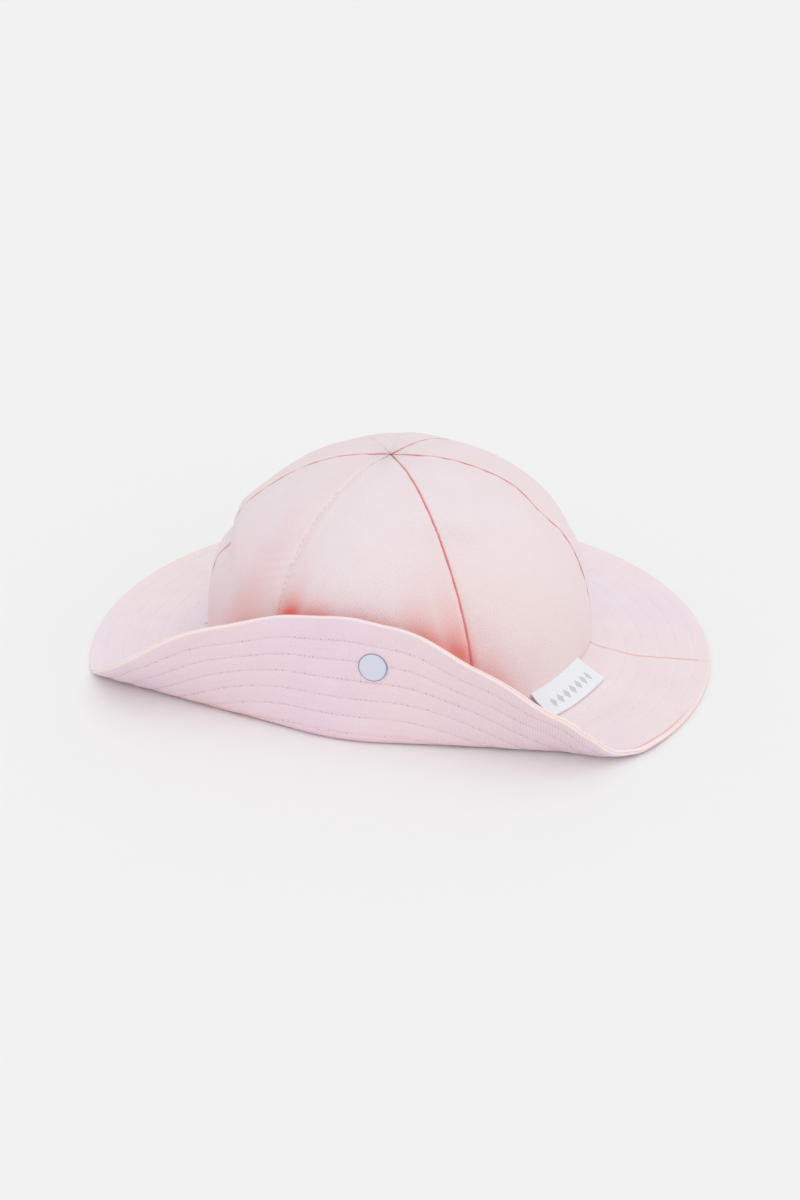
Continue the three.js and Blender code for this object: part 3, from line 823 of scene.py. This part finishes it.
def make_crown():
    for i, name in enumerate(CROWN_PANEL_NAMES):
        centre = i * 2 * PI / PANELS
        outer, azimuth, share, from_seam = panel_grid(centre, PANEL_ROWS, PANEL_COLUMNS, 0.0)
        inner = panel_grid(centre, PANEL_ROWS, PANEL_COLUMNS, PANEL_CLOTH - 0.15)[0]
        panel = shell(f"panel_{name}", section(outer, inner), crown_twill)
        uv = cloth_uv(azimuth - centre, share)
        put_uv(panel, "cloth", section(uv, uv))
        # Painted coral shade and coloured light on the crown's panels.
        painted_coral_shade = crown_painted_shade(azimuth, share, from_seam, outer[..., 2])[..., None]
        put_value(panel, "painted_coral_shade", section(painted_coral_shade, painted_coral_shade))
        place(panel, "crown", "cotton_twill", f"crown_panel_{name}")

        face = panel_grid(centre, 60, 40, PANEL_CLOTH + 0.35)
        back = panel_grid(centre, 60, 40, PANEL_CLOTH + 0.8)[0]
        lining = shell(f"lining_cloth_{name}", section(face[0], back), lining_cloth)
        uv = cloth_uv(face[1] - centre, face[2])
        put_uv(lining, "cloth", section(uv, uv))
        place(lining, "crown", "lining_cotton", f"lining_{name}")


make_crown()


def on_seam(seam, share, lift):
    """Points along a crown seam, `lift` mm above the plain dome."""
    azimuth = seam + seam_waver(seam, share)
    normal = normals_of(crown_point, azimuth, share)
    offset = crown_relief(wrapped(azimuth), share) + lift
    return crown_point(azimuth, share) + normal * offset[..., None]


def make_seam_threads():
    share = np.concatenate([np.linspace(-SKIRT_SHARE, 0, 8)[:-1], np.linspace(0, 0.99, 150)])
    seams = wrapped(SEAM_AZIMUTHS)
    # Coral thread in the seams, which also stands in for the shade in the seam grooves.
    coral = [on_seam(seam, share, SEAM_THREAD_LIFT) for seam in seams if not is_pale(seam)]
    plain = [on_seam(seam, share, PALE_THREAD_LIFT) for seam in seams if is_pale(seam)]
    place(thread("seam_threads_coral", coral, coral_thread_and_seam_shade, SEAM_THREAD_RADIUS, 8), "crown", "cotton_twill")
    place(thread("seam_threads_plain", plain, pink_thread, SEAM_THREAD_RADIUS, 8), "crown", "cotton_twill")
    stitches = []
    for middle in np.arange(0.05, 0.74, STITCH_PITCH / CROWN_CLIMB):
        short = middle + np.linspace(-0.5, 0.5, 6) * STITCH_LENGTH / CROWN_CLIMB
        path = on_seam(STITCHED_SEAM, short, 0.0)
        path[:, 0] -= 1.1
        stitches.append(path)
    place(thread("seam_stitches", stitches, pink_thread), "crown", "cotton_twill")


def make_foot_stitches():
    """The topstitched row on the crown just above the brim seam."""
    count = int(2 * PI * CROWN_RADIUS / STITCH_PITCH)
    reach = np.linspace(-0.5, 0.5, 6) * STITCH_LENGTH / CROWN_RADIUS
    paths = []
    for i in range(count):
        azimuth = wrapped(i * 2 * PI / count) + reach
        edge = crown_point(azimuth, 0.0 * azimuth)[:, 2]
        rise = FOOT_STITCH_RISE + flare(azimuth, CROWN_RADIUS)
        below = -SKIRT_SHARE * np.clip((edge - CROWN_FOOT_Z - rise) / (edge - CROWN_FOOT_Z), 0, 1)
        share = below + np.maximum(rise + CROWN_FOOT_Z - edge, 0) * FOOT_SHARE_PER_MM
        normal = normals_of(crown_point, azimuth, share)
        offset = crown_relief(azimuth, share) + 0.02
        paths.append(crown_point(azimuth, share) + normal * offset[:, None])
    place(thread("foot_stitches", paths, pink_thread), "crown", "cotton_twill")


SEAM_THREAD_RADIUS = 0.24
SEAM_THREAD_LIFT = -0.14
PALE_THREAD_LIFT = -0.30
FOOT_STITCH_RISE = 2.2
FOOT_SHARE_PER_MM = 0.004
make_seam_threads()
make_foot_stitches()


# ---- Brim ----

RIM_ROUND = 1.18
SIDE_SEAM = PI / 2
UNDER_LAYER, MIDDLE_LAYER, UPPER_LAYER = 0, 1, 2
GROOVE_DEPTH = 0.2
PUFF_HEIGHT = 0.16
PUCKER_DEPTH = 0.05
PUCKER_PITCH = 8.5


def quilting(radius, azimuth, strength=1.0):
    """Depth of the cloth's face below its plain surface: a groove at each stitch row, a puff between."""
    depth = np.zeros(np.broadcast(radius, azimuth).shape)
    for row in BRIM_ROWS:
        beside = radius - row
        depth = depth + GROOVE_DEPTH * hump(beside, 0.8)
        depth = depth + PUCKER_DEPTH * np.sin(azimuth * row * 2 * PI / PUCKER_PITCH + row) * hump(beside, 2.2)
    between = np.clip(radius, BRIM_ROWS[0], BRIM_ROWS[-1] + ROW_PITCH)
    puff = PUFF_HEIGHT * np.sin(PI * (between - FIRST_ROW) / ROW_PITCH) ** 2
    return (depth - puff) * strength


def face_quilting(layer):
    """The under face was stitched from below and shows its rows more than the upper face does."""
    return 0.25 if layer == UPPER_LAYER else 1.0


def stitch_uv(azimuth, radius):
    """Stitch coordinates: stitches counted along the nearest row, and mm away from it."""
    nearest = np.clip(np.round((radius - FIRST_ROW) / ROW_PITCH), 0, ROW_COUNT - 1)
    row = FIRST_ROW + ROW_PITCH * nearest
    count = np.round(2 * PI * row / STITCH_PITCH)
    return np.stack([azimuth * count / (2 * PI), radius - row], axis=-1)


def layer_loop(azimuths, layer, inner_radius, rows):
    """Radius and offset of a brim layer's face and back, its rim rounded over the stiffener."""
    azimuth = azimuths[:, None]
    rim = rim_radius(azimuth)
    inner = inner_radius(azimuth)
    turns = np.linspace(0, PI / 2, 9)[1:]
    flat = np.linspace(0, 1, rows)
    if layer == MIDDLE_LAYER:
        reach = rim - 1.4
        radius = inner + flat * (reach - inner)
        low = np.full_like(radius, STIFFENER_LOW)
        high = np.full_like(radius, STIFFENER_HIGH)
        return radius, low, radius, high
    edge = rim - RIM_ROUND
    radius = inner + flat * (edge - inner)
    face_radius = np.concatenate([radius, edge + RIM_ROUND * np.sin(turns)], axis=1)
    groove = quilting(radius, azimuth, face_quilting(layer)) * smooth(edge - radius, 0, 2)
    face_offset = np.concatenate([groove, RIM_ROUND - RIM_ROUND * np.cos(turns) + 0 * azimuth], axis=1)
    thin = RIM_ROUND - CLOTH
    back_radius = np.concatenate([radius, edge + thin * np.sin(turns) + 0 * azimuth], axis=1)
    back_rim = RIM_ROUND - thin * np.cos(turns) + 0 * azimuth
    back_offset = np.concatenate([0 * radius + CLOTH, back_rim], axis=1)
    if layer == UPPER_LAYER:
        face_offset = BRIM_STACK - face_offset
        back_offset = BRIM_STACK - back_offset
    return face_radius, face_offset, back_radius, back_offset


def between(azimuth, rise, full, fall, end):
    """1 from azimuth `full` to `fall`, and 0 before `rise` and after `end`, all in degrees."""
    angle = wrapped(azimuth)
    return smooth(angle, rad(rise), rad(full)) * (1 - smooth(angle, rad(fall), rad(end)))


def brim_painted_shade(azimuth, radius, offset, layer):
    """Painted coral shade: a fine line of shade where the two cloths meet at the rim, painted shade and
    coloured light on the fold, a line of shade inside the rim on the right, and shade in the side seam.
    """
    inside = rim_radius(azimuth) - radius
    right_front = between(azimuth, 5, 30, 58, 75)
    painted_coral_shade = (0.35 + 0.4 * right_front) * hump(np.abs(offset - RIM_ROUND), 0.22) * (inside < RIM_ROUND)
    if layer == UNDER_LAYER:
        beyond = fold_coordinates(azimuth, radius)[1]
        facing = np.cos(np.clip((azimuth - FOLD_AZIMUTH) / rad(64), -1, 1) * PI / 2)
        left = smooth(-wrapped(azimuth), rad(20), rad(45))
        painted_coral_shade = painted_coral_shade + (0.10 + 0.22 * left) * hump(beyond - 2.0, 5.5) * np.sqrt(np.maximum(facing, 0))
    else:
        painted_coral_shade = painted_coral_shade + 0.6 * hump(inside - 1.9, 0.35) * between(azimuth, 15, 45, 62, 75)
        painted_coral_shade = painted_coral_shade + 0.4 * hump(wrapped(azimuth - SIDE_SEAM) * radius, 0.5) * smooth(inside, 4, 7)
    return np.clip(painted_coral_shade, 0, 1)


def brim_painted_highlight(azimuth, radius):
    """Share of the painted cream highlight on the rounded rim, strongest where the brim is turned up."""
    inside = rim_radius(azimuth) - radius
    turned_up = 1 - smooth(np.abs(wrapped(azimuth - FOLD_AZIMUTH)), rad(58), rad(75))
    return (0.1 + 0.5 * turned_up) * (1 - smooth(inside, 0.35, 0.9))


def brim_layer(name, material, azimuths, layer, inner_radius, rows):
    face_radius, face_offset, back_radius, back_offset = layer_loop(azimuths, layer, inner_radius, rows)
    azimuth = azimuths[:, None] + 0 * face_radius
    outer = brim_offset(azimuth, face_radius, face_offset)
    inner = brim_offset(azimuth, back_radius, back_offset)
    piece = shell(name, section(outer, inner), material)
    uv = np.stack([azimuth * BRIM_CLOTH_RADIUS, face_radius], axis=-1)
    put_uv(piece, "cloth", section(uv, uv))
    stitch = stitch_uv(azimuth, face_radius)
    put_uv(piece, "stitch", section(stitch, stitch))
    below_face = BRIM_STACK - face_offset if layer == UPPER_LAYER else face_offset
    # Painted coral shade on the brim.
    painted_coral_shade = brim_painted_shade(azimuth, face_radius, below_face, layer)[..., None]
    put_value(piece, "painted_coral_shade", section(painted_coral_shade, painted_coral_shade))
    # Painted cream highlight on the rim.
    edge = brim_painted_highlight(azimuth, face_radius)[..., None]
    put_value(piece, "edge", section(edge, edge))
    return piece


def strip_layer(name, material, azimuths, layer, rows):
    """One layer of the steep strip between the crown seam and the first stitch row."""
    azimuth = azimuths[:, None]
    v = np.linspace(0.0, 1.0, rows)[None, :] + 0 * azimuth
    azimuth = azimuth + 0 * v
    low, high = {
        UNDER_LAYER: (0.0, CLOTH),
        MIDDLE_LAYER: (STIFFENER_LOW, STIFFENER_HIGH),
        UPPER_LAYER: (BRIM_STACK, BRIM_STACK - CLOTH),
    }[layer]
    normal = normals_of(strip_point, azimuth, v)
    point = strip_point(azimuth, v)
    piece = shell(name, section(point - normal * low, point - normal * high), material)
    uv = np.stack([azimuth * BRIM_CLOTH_RADIUS, 80 + 14 * v], axis=-1)
    put_uv(piece, "cloth", section(uv, uv))
    away = np.stack([0 * v, 5 + v], axis=-1)
    put_uv(piece, "stitch", section(away, away))
    # Painted coral shade next to the crown seam.
    painted_coral_shade = (0.25 * hump(v, 0.12))[..., None]
    put_value(piece, "painted_coral_shade", section(painted_coral_shade, painted_coral_shade))
    return piece


LAYER_NAMES = ["under", "interlining", "upper"]
LAYER_MATERIALS = [under_twill, stiff_felt, brim_twill]
LAYER_SLOTS = ["brim_underside", "stiffener", "cotton_twill"]
FRONT_AZIMUTHS = np.linspace(-SIDE_SEAM + 0.0002, SIDE_SEAM - 0.0005, 420)
BACK_AZIMUTHS = np.linspace(SIDE_SEAM + 0.0005, 3 * PI / 2 - 0.0002, 420)


def bend_with_flap(obj, slot, *nodes):
    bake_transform(obj)
    if nodes:
        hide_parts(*nodes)


def make_brim():
    for layer, (name, material, slot) in enumerate(zip(LAYER_NAMES, LAYER_MATERIALS, LAYER_SLOTS)):
        rows = 24 if layer == MIDDLE_LAYER else 110
        back = brim_layer(f"back_brim_{name}", material, BACK_AZIMUTHS, layer, strip_foot_radius, rows)
        place(back, "crown", slot, f"brim_back_{name}")
        front = brim_layer(f"front_brim_{name}", material, FRONT_AZIMUTHS, layer, strip_foot_radius, rows)
        bend_with_flap(front, slot, f"flap_{name}")
        back_strip = strip_layer(f"back_strip_{name}", material, BACK_AZIMUTHS[::2], layer, 16)
        place(back_strip, "crown", slot)
        front_strip = strip_layer(f"front_strip_{name}", material, FRONT_AZIMUTHS[::2], layer, 16)
        place(front_strip, "crown", slot, f"brim_front_{name}")


make_brim()


def row_stitches(row, from_azimuth, to_azimuth, above):
    """Stitches of one row, lying on the brim's face: above says which face."""
    count = int(round(2 * PI * row / STITCH_PITCH))
    first = math.ceil(from_azimuth * count / (2 * PI)) + 1
    last = math.floor(to_azimuth * count / (2 * PI)) - 1
    share = np.linspace(-0.5, 0.5, 6)
    lift = 0.17 * (1 - (2 * share) ** 4) - (0.20 if above else 0.10)
    middle = (np.arange(first, last) + 0.5) * 2 * PI / count
    azimuth = middle[:, None] + share[None, :] * STITCH_LENGTH / row
    radius = np.full_like(azimuth, row)
    groove = quilting(radius, azimuth, face_quilting(UPPER_LAYER if above else UNDER_LAYER))
    offset = BRIM_STACK - groove + lift if above else groove - lift
    return list(brim_offset(azimuth, radius, offset))


def make_stitches():
    for above in (False, True):
        side = "upper" if above else "under"
        front, back = [], []
        for row in BRIM_ROWS:
            front += row_stitches(row, FRONT_AZIMUTHS[0], FRONT_AZIMUTHS[-1], above)
            back += row_stitches(row, BACK_AZIMUTHS[0], BACK_AZIMUTHS[-1], above)
        slot = "cotton_twill" if above else "brim_underside"
        colour = upper_thread if above else pink_thread
        bend_with_flap(thread(f"front_stitches_{side}", front, colour), slot)
        place(thread(f"back_stitches_{side}", back, colour), "crown", slot)


make_stitches()


# ---- Sweatband and labels ----

CARE_LABEL_WIDTH = 24.0


def band(name, material, azimuths, shares, depth, thickness, closed=False):
    azimuth = azimuths[:, None] + 0 * shares[None, :]
    share = shares[None, :] + 0 * azimuth
    normal = normals_of(crown_point, azimuth, share)
    face = crown_point(azimuth, share) - normal * depth
    back = crown_point(azimuth, share) - normal * (depth + thickness)
    piece = shell(name, section(face, back), material, closed)
    uv = np.stack([azimuth * CROWN_RADIUS, share * CROWN_CLIMB], axis=-1)
    put_uv(piece, "cloth", section(uv, uv))
    return piece


def make_inside():
    ring = np.linspace(-PI, PI, 361)[:-1]
    up_band = np.linspace(-0.05, 0.108, 14)
    sweatband = band("sweatband_tape", band_tape, ring, up_band, 2.45, 0.8, closed=True)
    place(sweatband, "crown", "sweatband_tape", "sweatband")
    half = CARE_LABEL_WIDTH / 2 / CROWN_RADIUS
    across = np.linspace(PI - half, PI + half, 20)
    care = band("care_tape", care_tape, across, np.linspace(0.24, 0.42, 16), 2.9, 0.4)
    place(care, "crown", "care_label_tape", "care_label")


make_inside()


LABEL_WIDTH = 12.4
LABEL_LIFT = 2.6
LABEL_INSET = 2.0
LABEL_SPAN = 36.0
LABEL_MIDDLE = rad(60.8)
LABEL_MARK_SHARE = 0.6
LABEL_GAP = 0.5
LABEL_CLOTH = 0.5


def flare_point(azimuth, distance):
    """Underside of the brim at a distance outward from the crown seam, over the strip and the flat ring."""
    top_radius = CROWN_RADIUS - STRIP_TOP_INSET
    foot = strip_foot_radius(azimuth)
    v = np.clip(distance / (foot - top_radius), 0, 1)
    on_strip = strip_point(azimuth, v)
    radius = top_radius + distance
    flat = np.stack([radius * np.sin(azimuth), -radius * np.cos(azimuth), flare(azimuth, radius)], axis=-1)
    return np.where((distance < foot - top_radius)[..., None], on_strip, flat)


def make_label():
    half = LABEL_SPAN / 2 / (CROWN_RADIUS + STRIP_TOP_INSET)
    azimuth = np.linspace(LABEL_MIDDLE - half, LABEL_MIDDLE + half, 60)[:, None]
    distance = LABEL_INSET + np.linspace(0, LABEL_WIDTH, 34)[None, :] + 0 * azimuth
    azimuth = azimuth + 0 * distance
    share = (distance - LABEL_INSET) / LABEL_WIDTH
    curl = 0.3 * smooth(share, 0.7, 1.0) + 0.15 * np.sin((azimuth - LABEL_MIDDLE) * 20) * share
    low = (BRIM_STACK + LABEL_GAP + curl + LABEL_LIFT * (1 - share))[..., None]
    point = flare_point(azimuth, distance)
    up = np.array([0.0, 0.0, 1.0])
    label = shell("woven_tag", section(point + up * (low + LABEL_CLOTH), point + up * low), label_satin)
    uv = np.stack([(azimuth - LABEL_MIDDLE) * 90.0, (share - LABEL_MARK_SHARE) * LABEL_WIDTH], axis=-1)
    put_uv(label, "cloth", section(uv, uv))
    place(label, "crown", "label_weave", "woven_label")


make_label()


# ---- Press-stud ----

def snap_axis():
    """Centre of the flap's outer face at the press-stud, and the direction outward, from the CAD cap."""
    low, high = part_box("snap_cap")
    plate_low, plate_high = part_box("snap_back_plate")
    cap = np.array((low + high) / 2) / MM
    plate = np.array((plate_low + plate_high) / 2) / MM
    outward = cap - plate
    return cap - AXIS, outward / np.linalg.norm(outward)


def snap_circle(segments):
    """The press-stud's centre and outward direction, and unit spokes round its axis."""
    centre, outward = snap_axis()
    side = np.cross(outward, [0.0, 0.0, 1.0])
    side /= np.linalg.norm(side)
    up = np.cross(side, outward)
    angles = np.linspace(0, 2 * PI, segments, endpoint=False)
    return centre, outward, side * np.cos(angles)[:, None] + up * np.sin(angles)[:, None]


def turned(name, profile, material, segments=72):
    """A solid turned about the press-stud's axis from (radius, distance outward) points, closed on the
    axis."""
    centre, outward, spokes = snap_circle(segments)
    rings = [point for point in profile if point[0] > 1e-6]
    points = [centre + outward * along + spoke * radius for radius, along in rings for spoke in spokes]
    faces = []
    for i in range(len(rings) - 1):
        for s in range(segments):
            n = (s + 1) % segments
            faces.append([i * segments + s, i * segments + n, (i + 1) * segments + n, (i + 1) * segments + s])
    first, last = len(points), len(points) + 1
    points.append(centre + outward * profile[0][1])
    points.append(centre + outward * profile[-1][1])
    top = (len(rings) - 1) * segments
    for s in range(segments):
        n = (s + 1) % segments
        faces.append([first, n, s])
        faces.append([last, top + s, top + n])
    obj = new_object(name, points, faces, material)
    bpy.context.view_layer.objects.active = obj
    obj.select_set(True)
    bpy.ops.object.mode_set(mode="EDIT")
    bpy.ops.mesh.select_all(action="SELECT")
    bpy.ops.mesh.normals_make_consistent(inside=False)
    bpy.ops.object.mode_set(mode="OBJECT")
    obj.select_set(False)
    return obj


def turned_ring(name, profile, material, segments=72):
    """A ring turned about the press-stud's axis from a closed profile that doesn't meet the axis."""
    centre, outward, spokes = snap_circle(segments)
    profile = np.array(profile)
    loop = centre + outward * profile[None, :, 1, None] + spokes[:, None, :] * profile[None, :, 0, None]
    return shell(name, loop, material, closed_u=True)


def arc(centre, radius, start, end, steps):
    """Points of an arc in a profile, from angle start to end in degrees."""
    angles = np.radians(np.linspace(start, end, steps))
    return [(centre[0] + radius * math.cos(a), centre[1] + radius * math.sin(a)) for a in angles]


def make_snap():
    """The four parts of the press-stud. Distances are from the middle of the cap's box."""
    cap = [(0, -3.0), (1.35, -3.0), (1.35, -0.62), (5.2, -0.62), (5.5, -0.3)]
    cap += arc((5.35, 0.5), 0.3, 0, 100, 7)
    cap += [(5.1, 0.78), (4.2, 0.84), (2.2, 0.9), (0, 0.92)]
    place(turned("stud_cap", cap, cap_enamel), "brim_flap", "snap_cap_enamel", "snap_cap")
    # The cap's side wall, in the darker enamel of painted shade.
    ring = [(5.35, -0.75), (5.75, -0.8)]
    ring += arc((5.75, -0.55), 0.25, -60, 0, 4)
    ring += arc((5.72, 0.42), 0.28, 0, 90, 5)
    ring += [(5.6, 0.7), (5.55, 0.5)]
    place(turned_ring("cap_rim", ring, rim_enamel_painted_shade), "brim_flap", "snap_cap_enamel")
    socket = [(0, -4.0), (4.6, -4.0)]
    socket += arc((4.6, -4.35), 0.35, 90, -60, 6)
    socket += [(3.4, -5.2), (2.9, -5.28), (2.15, -5.28), (2.15, -4.5), (0, -4.5)]
    place(turned("stud_socket", socket, nickel), "brim_flap", "snap_metal", "snap_socket")
    stud = [(0, -6.2), (3.2, -6.2)]
    stud += arc((3.25, -5.95), 0.25, -90, 60, 5)
    stud += [(2.3, -5.62), (1.55, -5.6), (1.5, -5.2)]
    stud += arc((1.45, -5.0), 0.28, -30, 90, 5)
    stud += [(0.8, -4.7), (0, -4.68)]
    place(turned("stud_post", stud, nickel), "crown", "snap_metal", "snap_stud")
    plate = [(0, -6.5), (1.3, -6.5), (1.3, -9.7), (3.7, -9.75)]
    plate += arc((3.7, -10.05), 0.3, 90, -60, 6)
    plate += [(3.0, -10.42), (1.6, -10.45), (0, -10.35)]
    place(turned("stud_plate", plate, nickel), "crown", "snap_metal", "snap_back_plate")


make_snap()


# ---- Floor, light and camera ----

FLOOR_SIZE = 12.0
VIEW_AZIMUTH = rad(9.08)
VIEW_ELEVATION = rad(27.27)
VIEW_DISTANCE = 0.8
VIEW_LENS = 53.45
SENSOR = 36.0
LOOK_AT_Z = 0.01158
FRAME_SHIFT_X = -0.0002
FRAME_SHIFT_Y = 0.0166


def make_floor():
    n = Nodes("pale_floor")
    n.set(Base_Color=(0.9, 0.9, 0.9, 1.0), Roughness=0.95, Specular_IOR_Level=0.1)
    mesh = bpy.data.meshes.new("floor")
    half = FLOOR_SIZE / 2
    corners = [(-half, -half, 0), (half, -half, 0), (half, half, 0), (-half, half, 0)]
    mesh.from_pydata(corners, [], [(0, 1, 2, 3)])
    floor = bpy.data.objects.new("floor", mesh)
    bpy.context.collection.objects.link(floor)
    mesh.materials.append(n.material)


WORLD_STRENGTH = 0.84
SKY_TONE = 0.887


def make_light():
    """Soft, even studio light: a bright surround, which the camera sees in the floor's own tone, and
    two wide suns."""
    world = bpy.data.worlds.new("studio")
    bpy.context.scene.world = world
    world.use_nodes = True
    tree = world.node_tree
    lit = tree.nodes["Background"]
    lit.inputs["Color"].default_value = (1.0, 1.0, 1.0, 1.0)
    lit.inputs["Strength"].default_value = WORLD_STRENGTH
    seen = tree.nodes.new("ShaderNodeBackground")
    seen.inputs["Color"].default_value = (SKY_TONE, SKY_TONE, SKY_TONE, 1.0)
    path = tree.nodes.new("ShaderNodeLightPath")
    mix = tree.nodes.new("ShaderNodeMixShader")
    tree.links.new(path.outputs["Is Camera Ray"], mix.inputs[0])
    tree.links.new(lit.outputs[0], mix.inputs[1])
    tree.links.new(seen.outputs[0], mix.inputs[2])
    tree.links.new(mix.outputs[0], tree.nodes["World Output"].inputs["Surface"])
    suns = [("key", (0.35, -0.2, 1.0), 0.42, 60), ("front", (0.55, -1.0, 0.4), 0.23, 60)]
    for name, from_where, strength, spread in suns:
        data = bpy.data.lights.new(name, "SUN")
        data.energy = strength
        data.angle = rad(spread)
        lamp = bpy.data.objects.new(name, data)
        bpy.context.collection.objects.link(lamp)
        lamp.rotation_euler = Vector(from_where).to_track_quat("Z", "Y").to_euler()


def make_camera():
    data = bpy.data.cameras.new("camera")
    data.lens = VIEW_LENS
    data.sensor_width = SENSOR
    data.shift_x = FRAME_SHIFT_X
    data.shift_y = FRAME_SHIFT_Y
    data.clip_start = 0.01
    camera = bpy.data.objects.new("camera", data)
    bpy.context.collection.objects.link(camera)
    target = Vector((0.0, AXIS_Y * MM, LOOK_AT_Z))
    level = math.cos(VIEW_ELEVATION)
    sideways, forward = math.sin(VIEW_AZIMUTH) * level, -math.cos(VIEW_AZIMUTH) * level
    away = Vector((sideways, forward, math.sin(VIEW_ELEVATION)))
    camera.location = target + away * VIEW_DISTANCE
    camera.rotation_euler = (-away).to_track_quat("-Z", "Y").to_euler()
    bpy.context.scene.camera = camera


make_floor()
make_light()
make_camera()

scene = bpy.context.scene
scene.view_settings.view_transform = "Standard"
scene.view_settings.look = "None"

bpy.context.view_layer.update()
